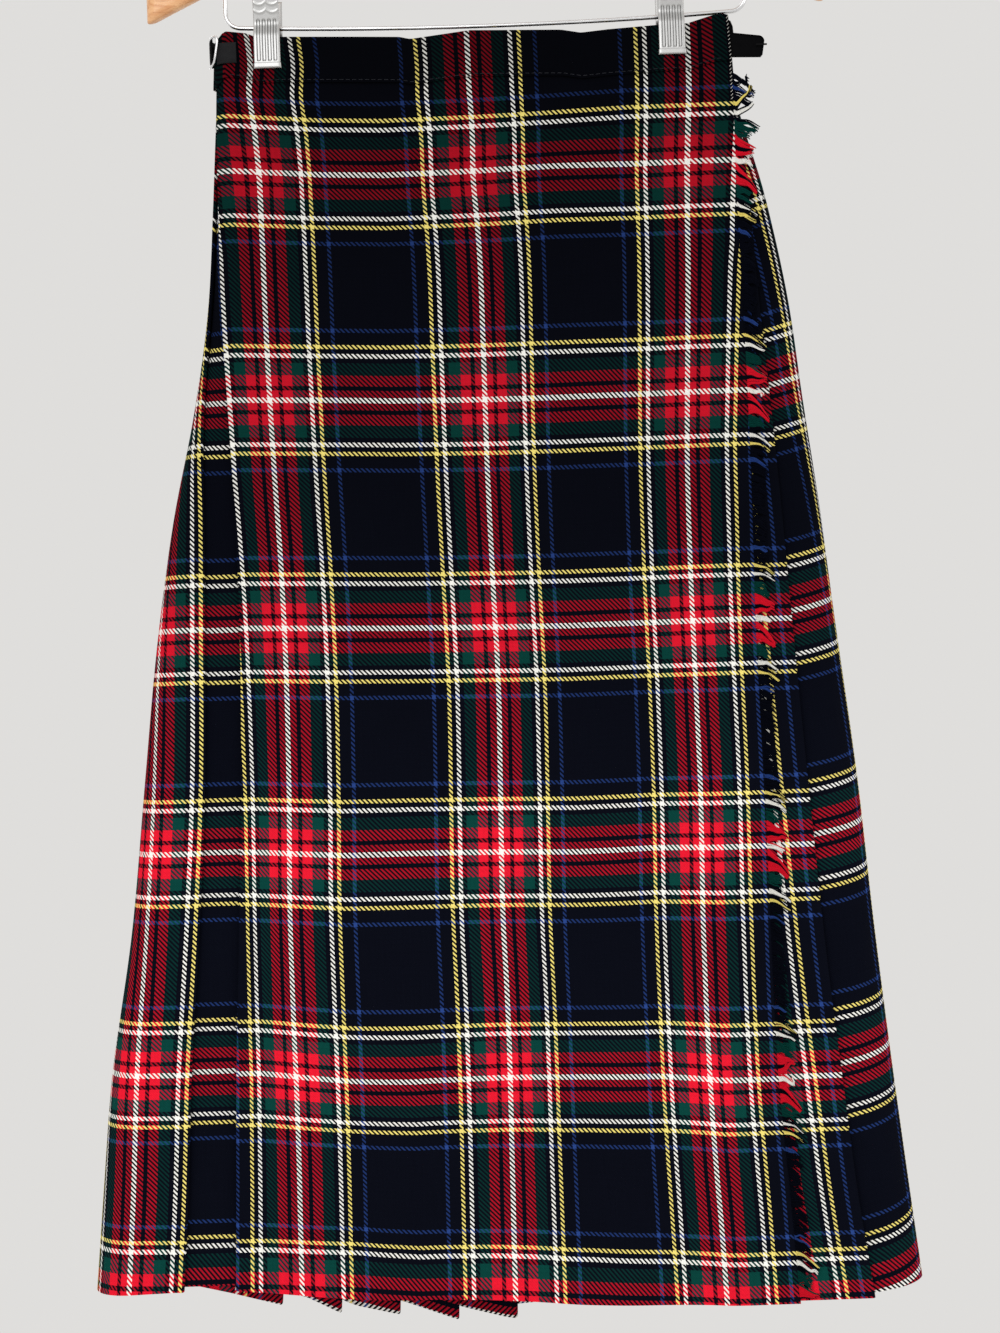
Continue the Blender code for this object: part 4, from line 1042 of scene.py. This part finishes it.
def clip_jaw(side, x, facing, sign, mat):
    """One jaw. Across it t runs from -1 to 1 and its face is rounded off at both sides. Down it the middle
    line follows the profile of (depth, height). Four grooves with round tops are let in, and rows of arcs
    stand out above them."""
    waist = Plan([BAND])
    proud = 0.0
    if sign < 0.0:
        proud = float(np.max(waist.stand_out(x + np.array([[-CLIP_WIDTH, 0.0, CLIP_WIDTH]]) / 2.0)))
    face = float(waist.half_depth[0, 0] + waist.pitch[0, 0]) + 0.0008 + proud
    bar = WAIST_Z - bar_drop(x)
    depth = np.array((face, face, face, CORE_DEPTH + 0.0003, CORE_DEPTH + JAW_FLARE)) + JAW_HALF
    height = np.array((WAIST_Z - JAW_END, WAIST_Z - JAW_END + LIP_HEIGHT, WAIST_Z - JAW_STRAIGHT,
                       bar + 0.0003, WAIST_Z + JAW_TOP))
    z = np.linspace(height[0], height[-1], 121)
    middle = np.interp(z, height, depth)
    smooth = np.concatenate([np.full(4, middle[0]), middle, np.full(4, middle[-1])])
    middle = np.convolve(smooth, np.full(9, 1.0 / 9.0), mode="valid")
    t = np.linspace(-1.0, 1.0, 73)[None, :]
    down = (z - WAIST_Z)[:, None]
    wide = CLIP_WIDTH / 2.0 * (1.0 + 0.05 * smoothstep((-JAW_END + LIP_HEIGHT - down) / 0.0008) - 0.015
                               - 0.03 * smoothstep((down + 0.024) / 0.04))
    across_clip = t * wide
    lip = smoothstep((-JAW_END + LIP_HEIGHT - down) / 0.0007)
    groove = 0.0
    for centre in CLIP_GROOVES:
        off = np.abs(across_clip - centre)
        within = smoothstep((0.00125 - off) / 0.0004)
        ends = smoothstep((down + 0.0265) / 0.0006) * smoothstep((0.0018 - off * 0.5 - down) / 0.0008)
        groove = groove + within * ends
    arcs = 0.0
    for level in ARC_LEVELS:
        bow = level - 0.0022 * np.abs(np.sin(np.pi * np.clip(t, -0.98, 0.98))) ** 0.7 + 0.0016
        arcs = arcs + np.exp(-(((down - bow) / 0.0007) ** 2))
    round_off = (1.0 - np.abs(t) ** 14) ** 0.5
    ends_off = smoothstep((down + JAW_END) / 0.0010 + 0.12) * smoothstep((JAW_TOP - down) / 0.0010 + 0.12)
    swell = JAW_HALF * (1.0 + 0.4 * lip) * round_off * ends_off
    outer = middle[:, None] + swell - GROOVE_DEPTH * groove + ARC_HEIGHT * arcs
    inner = middle[:, None] - JAW_HALF * 0.9 * round_off * ends_off
    front = np.stack([x + across_clip, sign * outer, z[:, None] + 0.0 * t], axis=-1)
    back = np.stack([x + across_clip, sign * inner, z[:, None] + 0.0 * t], axis=-1)
    ring = np.concatenate([front, back[:, ::-1]], axis=1)
    piece = build(f"clip_{side}_{facing}_ribbed", ring, wall_faces(*front.shape[:2]), mat, sharp=60)
    finish(piece, "clip", f"clip_{side}_{facing}")


def bar_drop(x):
    """How far below the waist's line the sagging bar lies: a parabola."""
    return 0.0005 + 0.0045 * (1.0 - (x / BAR_HALF) ** 2)


def wood_lower(x):
    """Height of the arms' lower edge."""
    return WAIST_Z + 0.0023 + HANGER_RISE * (1.0 - np.abs(x / HANGER_HALF) ** 1.25)


def bar_path():
    """The sagging bar, a quarter turn at each end and a leg up into the wood."""
    xs = np.linspace(-BAR_HALF + BAR_BEND, BAR_HALF - BAR_BEND, 60)
    low = WAIST_Z - bar_drop(xs[-1]) + BAR_BEND
    angle = np.radians(np.linspace(0.0, 90.0, 13)[1:])
    turn = np.stack([xs[-1] + BAR_BEND * np.sin(angle), low - BAR_BEND * np.cos(angle)], axis=-1)
    leg = np.stack([np.full(12, BAR_HALF), np.linspace(low, wood_lower(BAR_HALF) + 0.009, 13)[1:]], axis=-1)
    right = np.concatenate([turn, leg])
    left = right[::-1] * (-1.0, 1.0)
    flat = np.concatenate([left, np.stack([xs, WAIST_Z - bar_drop(xs)], axis=-1), right])
    return np.stack([flat[:, 0], 0.0 * flat[:, 0], flat[:, 1]], axis=-1)


def hook_path():
    """A straight stem, a soft bend to the right and three quarters of a circle over the top to the left."""
    centre = HOOK_RADIUS - HOOK_BEND
    start = np.radians(-42.0)
    angle = np.linspace(start, np.radians(205.0), 60)
    circle = np.stack([HOOK_BEND * np.cos(angle), centre + HOOK_BEND * np.sin(angle)], axis=-1)
    foot = wood_lower(0.0) + NECK_HEIGHT - 0.010
    base = np.array([0.0, centre - HOOK_BEND - 0.014])
    t = np.linspace(0.0, 1.0, 24)[:-1, None]
    arrive = np.array([-np.sin(start), np.cos(start)]) * 0.024
    bend = hermite(t, base, circle[0], np.array([0.0, 0.030]), arrive)
    stem = np.stack([np.zeros(14), np.linspace(foot, base[1], 15)[:-1]], axis=-1)
    flat = np.concatenate([stem, bend, circle])
    return np.stack([flat[:, 0], 0.0 * flat[:, 0], flat[:, 1]], axis=-1)


def rounded_box(angle, power):
    """Places round a box with round corners, from -1 to 1: powers of the cosine and sine, signs kept."""
    wide = np.sign(np.cos(angle)) * np.abs(np.cos(angle)) ** power
    return wide, np.sign(np.sin(angle)) * np.abs(np.sin(angle)) ** power


def hanger(wire_mat, wood_mat):
    """The bar, the hook with its round tip and ferrule, and the two arms as rings along x."""
    finish(strands("hanger_bar_wire", bar_path()[None], BAR_RADIUS, wire_mat, 16), "wire", "hanger_bar")
    path = hook_path()
    length = np.concatenate([[0.0], np.cumsum(np.linalg.norm(np.diff(path, axis=0), axis=1))])
    left = length[-1] - length
    near_tip = (HOOK_RADIUS - np.minimum(left, HOOK_RADIUS)) / HOOK_RADIUS
    tip = np.sqrt(np.clip(1.0 - near_tip**2, 0.03, 1.0))
    ferrule = 1.0 + 0.9 * smoothstep((0.0135 - length) / 0.0008)
    piece = strands("hanger_hook_wire", path[None], (HOOK_RADIUS * tip * ferrule)[None], wire_mat, 24)
    finish(piece, "wire", "hanger_hook")
    xs = HANGER_HALF * np.sin(np.linspace(-np.pi / 2.0, np.pi / 2.0, 121))
    share = 1.0 - np.abs(xs / HANGER_HALF)
    low = wood_lower(xs)
    high = low + TIP_HEIGHT + (NECK_HEIGHT - TIP_HEIGHT) * smoothstep(share * 1.15)
    angle = np.linspace(0.0, 2.0 * np.pi, 48, endpoint=False)
    end = np.sqrt(np.clip(1.0 - np.clip(1.0 - share * 30.0, 0.0, 1.0) ** 2, 0.02, 1.0))[:, None]
    flat, tall = rounded_box(angle, 0.62)
    middle = ((low + high) / 2.0)[:, None]
    half = ((high - low) / 2.0)[:, None]
    y = HANGER_THICK / 2.0 * flat[None, :] * end
    z = middle + half * tall[None, :] * (0.75 + 0.25 * end)
    points = np.stack([xs[:, None] + 0.0 * y, y, z], axis=-1)
    count = len(xs)
    faces = [tuple(f) for f in grid_faces(count, 48)]
    faces += [tuple(range(48))[::-1], tuple((count - 1) * 48 + i for i in range(48))]
    finish(build_mixed("hanger_wood_arms", points.reshape(-1, 3), faces, wood_mat), "wood", "hanger_wood")


def fastenings(leather, pale_leather, wire_mat):
    """The tab, the strap's end and the buckle at the left waist, and the strap at the right."""
    plan = Plan([FASTENING_DROP])
    outside = -float(plan.pitch[0, 0]) - 0.0008
    pad("left_tab_leather", "left_tab", TAB_ALONG, TAB_DROPS, outside - 0.0008, 0.0017, pale_leather)
    pad("left_strap_end_leather", "left_strap_end", END_ALONG, END_DROPS, outside - 0.0011, 0.0018, leather)
    top, bottom = BUCKLE_DROPS
    angle = np.linspace(0.0, 2.0 * np.pi, 64, endpoint=False)
    wide, tall = rounded_box(angle, 0.45)
    along_s = -0.0008 + 0.0046 * wide + 0.0014 * tall
    loop = plan.place(plan.fold + along_s[None, :], outside - 0.0019 + 0.0009 * wide[None, :])
    loop[0, :, 2] = WAIST_Z - (top + bottom) / 2.0 - (bottom - top) / 2.0 * tall
    finish(strands("left_buckle_wire", loop, BUCKLE_RADIUS, wire_mat, 12, closed=True), "wire", "left_buckle")
    y = -float(plan.half_depth[0, 0]) - 0.0004
    plate("right_strap_leather", strap_outline(), y, STRAP_THICK, 0.0007, leather, "leather", "right_strap")


CLOTH_PAINT = tartan("black_ground_tartan_twill")
# The band's copy of the tartan at 0.8 brightness: painted shade.
SHADED_BAND_PAINT = tartan("tartan_band_twill_shaded", 0.8)
YARN_PAINT = fringe_yarn()
THREAD_PAINT = plain_thread("white_thread", linear(205, 203, 196))
DARK_THREAD_PAINT = plain_thread("dark_thread", linear(16, 20, 32))
LEATHER_PAINT = black_leather("black_leather_grained", 2, 9, 0.03)
PALE_LEATHER_PAINT = black_leather("black_leather_paler", 10, 38, 0.08)
WIRE_PAINT = bright_wire("bright_steel_drawn", (0.86, 0.86, 0.87), 0.12)
# The strap's prong: a near black copy of the bright steel, painted shade.
SHADED_WIRE_PAINT = bright_wire("shaded_steel_drawn", (0.012, 0.012, 0.013), 0.55)
CLIP_PAINTS = [ribbed_silver(f"silver_clip_{side}", x) for side, x in CLIP_CENTRES]
WOOD_PAINT = varnished_wood()

fine = np.linspace(0.0, DROP, 141)
coarse = np.linspace(0.0, DROP, 101)
pleat_drops = np.linspace(0.0, DROP, 87)
band_drops = np.linspace(0.0, BAND, 9)
apron = cloth("over_apron_cloth", over_apron, fine, CLOTH_PAINT)
back = cloth("pleated_back_cloth", pleated_back, pleat_drops, CLOTH_PAINT)
under = cloth("under_apron_cloth", under_apron, coarse, CLOTH_PAINT)
front_band = cloth("waistband_front_cloth", band_front, band_drops, SHADED_BAND_PAINT, True)
back_band = cloth("waistband_back_cloth", band_back, band_drops, SHADED_BAND_PAINT, True)
yarns = fringe(YARN_PAINT)

drop = np.arange(0.0015, 0.0560, 0.0024)
places = Plan(drop)
n = -places.pitch[:, 0] * (drop < BAND) - STITCH_OUT
stitches("edge_stitches", places.edge[:, 0] + 0.0009, n, drop, THREAD_PAINT, 1.1)
ends = Plan([BAND])
for part, first, last in (
    ("front", -0.152, 0.168),
    ("back", float(ends.s_left_back[0, 0]), float(ends.s_right_back[0, 0])),
):
    s = np.arange(first, last, BAND_STITCH_STEP)
    drop = np.full(len(s), BAND_STITCH_DROP)
    stitches(f"band_{part}_stitches", s, -Plan(drop).pitch[:, 0] - STITCH_OUT, drop, DARK_THREAD_PAINT)

for (side, x), mat in zip(CLIP_CENTRES, CLIP_PAINTS):
    clip_jaw(side, x, "front", -1.0, mat)
    clip_jaw(side, x, "back", 1.0, mat)
hanger(WIRE_PAINT, WOOD_PAINT)
fastenings(LEATHER_PAINT, PALE_LEATHER_PAINT, WIRE_PAINT)

for node, mat in (
    ("right_strap_prong", SHADED_WIRE_PAINT),
    ("clip_left_core", WIRE_PAINT),
    ("clip_right_core", WIRE_PAINT),
):
    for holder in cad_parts[node].material_slots:
        holder.material = mat


def stage_and_lights():
    """A pale floor disc, a pale world, one broad light in front and two softer ones at the sides."""
    ring = np.linspace(0.0, 2.0 * np.pi, 65)[:-1]
    floor_points = np.stack([0.9 * np.cos(ring), 0.9 * np.sin(ring), 0.0 * ring - 1.40], axis=-1)
    mat = Paint("pale_floor", Roughness=0.9)
    mat.shader.inputs["Base Color"].default_value = (0.78, 0.77, 0.74, 1.0)
    floor = build_mixed("floor", floor_points, [tuple(range(64))], mat.mat)
    world = bpy.data.worlds.new("pale_world")
    world.use_nodes = True
    world.node_tree.nodes["Background"].inputs[0].default_value = (0.74, 0.73, 0.715, 1.0)
    world.node_tree.nodes["Background"].inputs[1].default_value = 1.0
    bpy.context.scene.world = world
    for name, place, turn, size, power in (
        ("front_light", (-0.9, -2.6, 0.7), (1.15, 0.0, -0.33), 1.8, 26.0),
        ("side_light", (2.2, -1.4, 0.2), (1.25, 0.0, 1.0), 1.4, 9.0),
        ("back_light", (-0.6, 2.6, 0.7), (1.15, 0.0, 3.37), 1.8, 16.0),
    ):
        light = bpy.data.lights.new(name, "AREA")
        light.size = size
        light.energy = power
        holder = bpy.data.objects.new(name, light)
        holder.location = place
        holder.rotation_euler = turn
        bpy.context.scene.collection.objects.link(holder)


def camera():
    """1.5 m in front, level with the photo's middle and rolled by 2 degrees."""
    roll = np.radians(2.0)
    side = (np.cos(roll), 0.0, -np.sin(roll))
    up = (np.sin(roll), 0.0, np.cos(roll))
    place = (-0.0054, -1.5, -0.6208)
    lens = bpy.data.cameras.new("camera")
    lens.sensor_fit = "HORIZONTAL"
    lens.sensor_width = 36.0
    lens.lens = 36.0 * 1500.0 / 660.0
    lens.clip_start = 0.05
    view = bpy.data.objects.new("camera", lens)
    view.matrix_world = Matrix((
        (side[0], up[0], 0.0, place[0]),
        (side[1], up[1], -1.0, place[1]),
        (side[2], up[2], 0.0, place[2]),
        (0.0, 0.0, 0.0, 1.0),
    ))
    bpy.context.scene.collection.objects.link(view)
    bpy.context.scene.camera = view


stage_and_lights()
camera()
bpy.context.scene.view_settings.view_transform = "Standard"
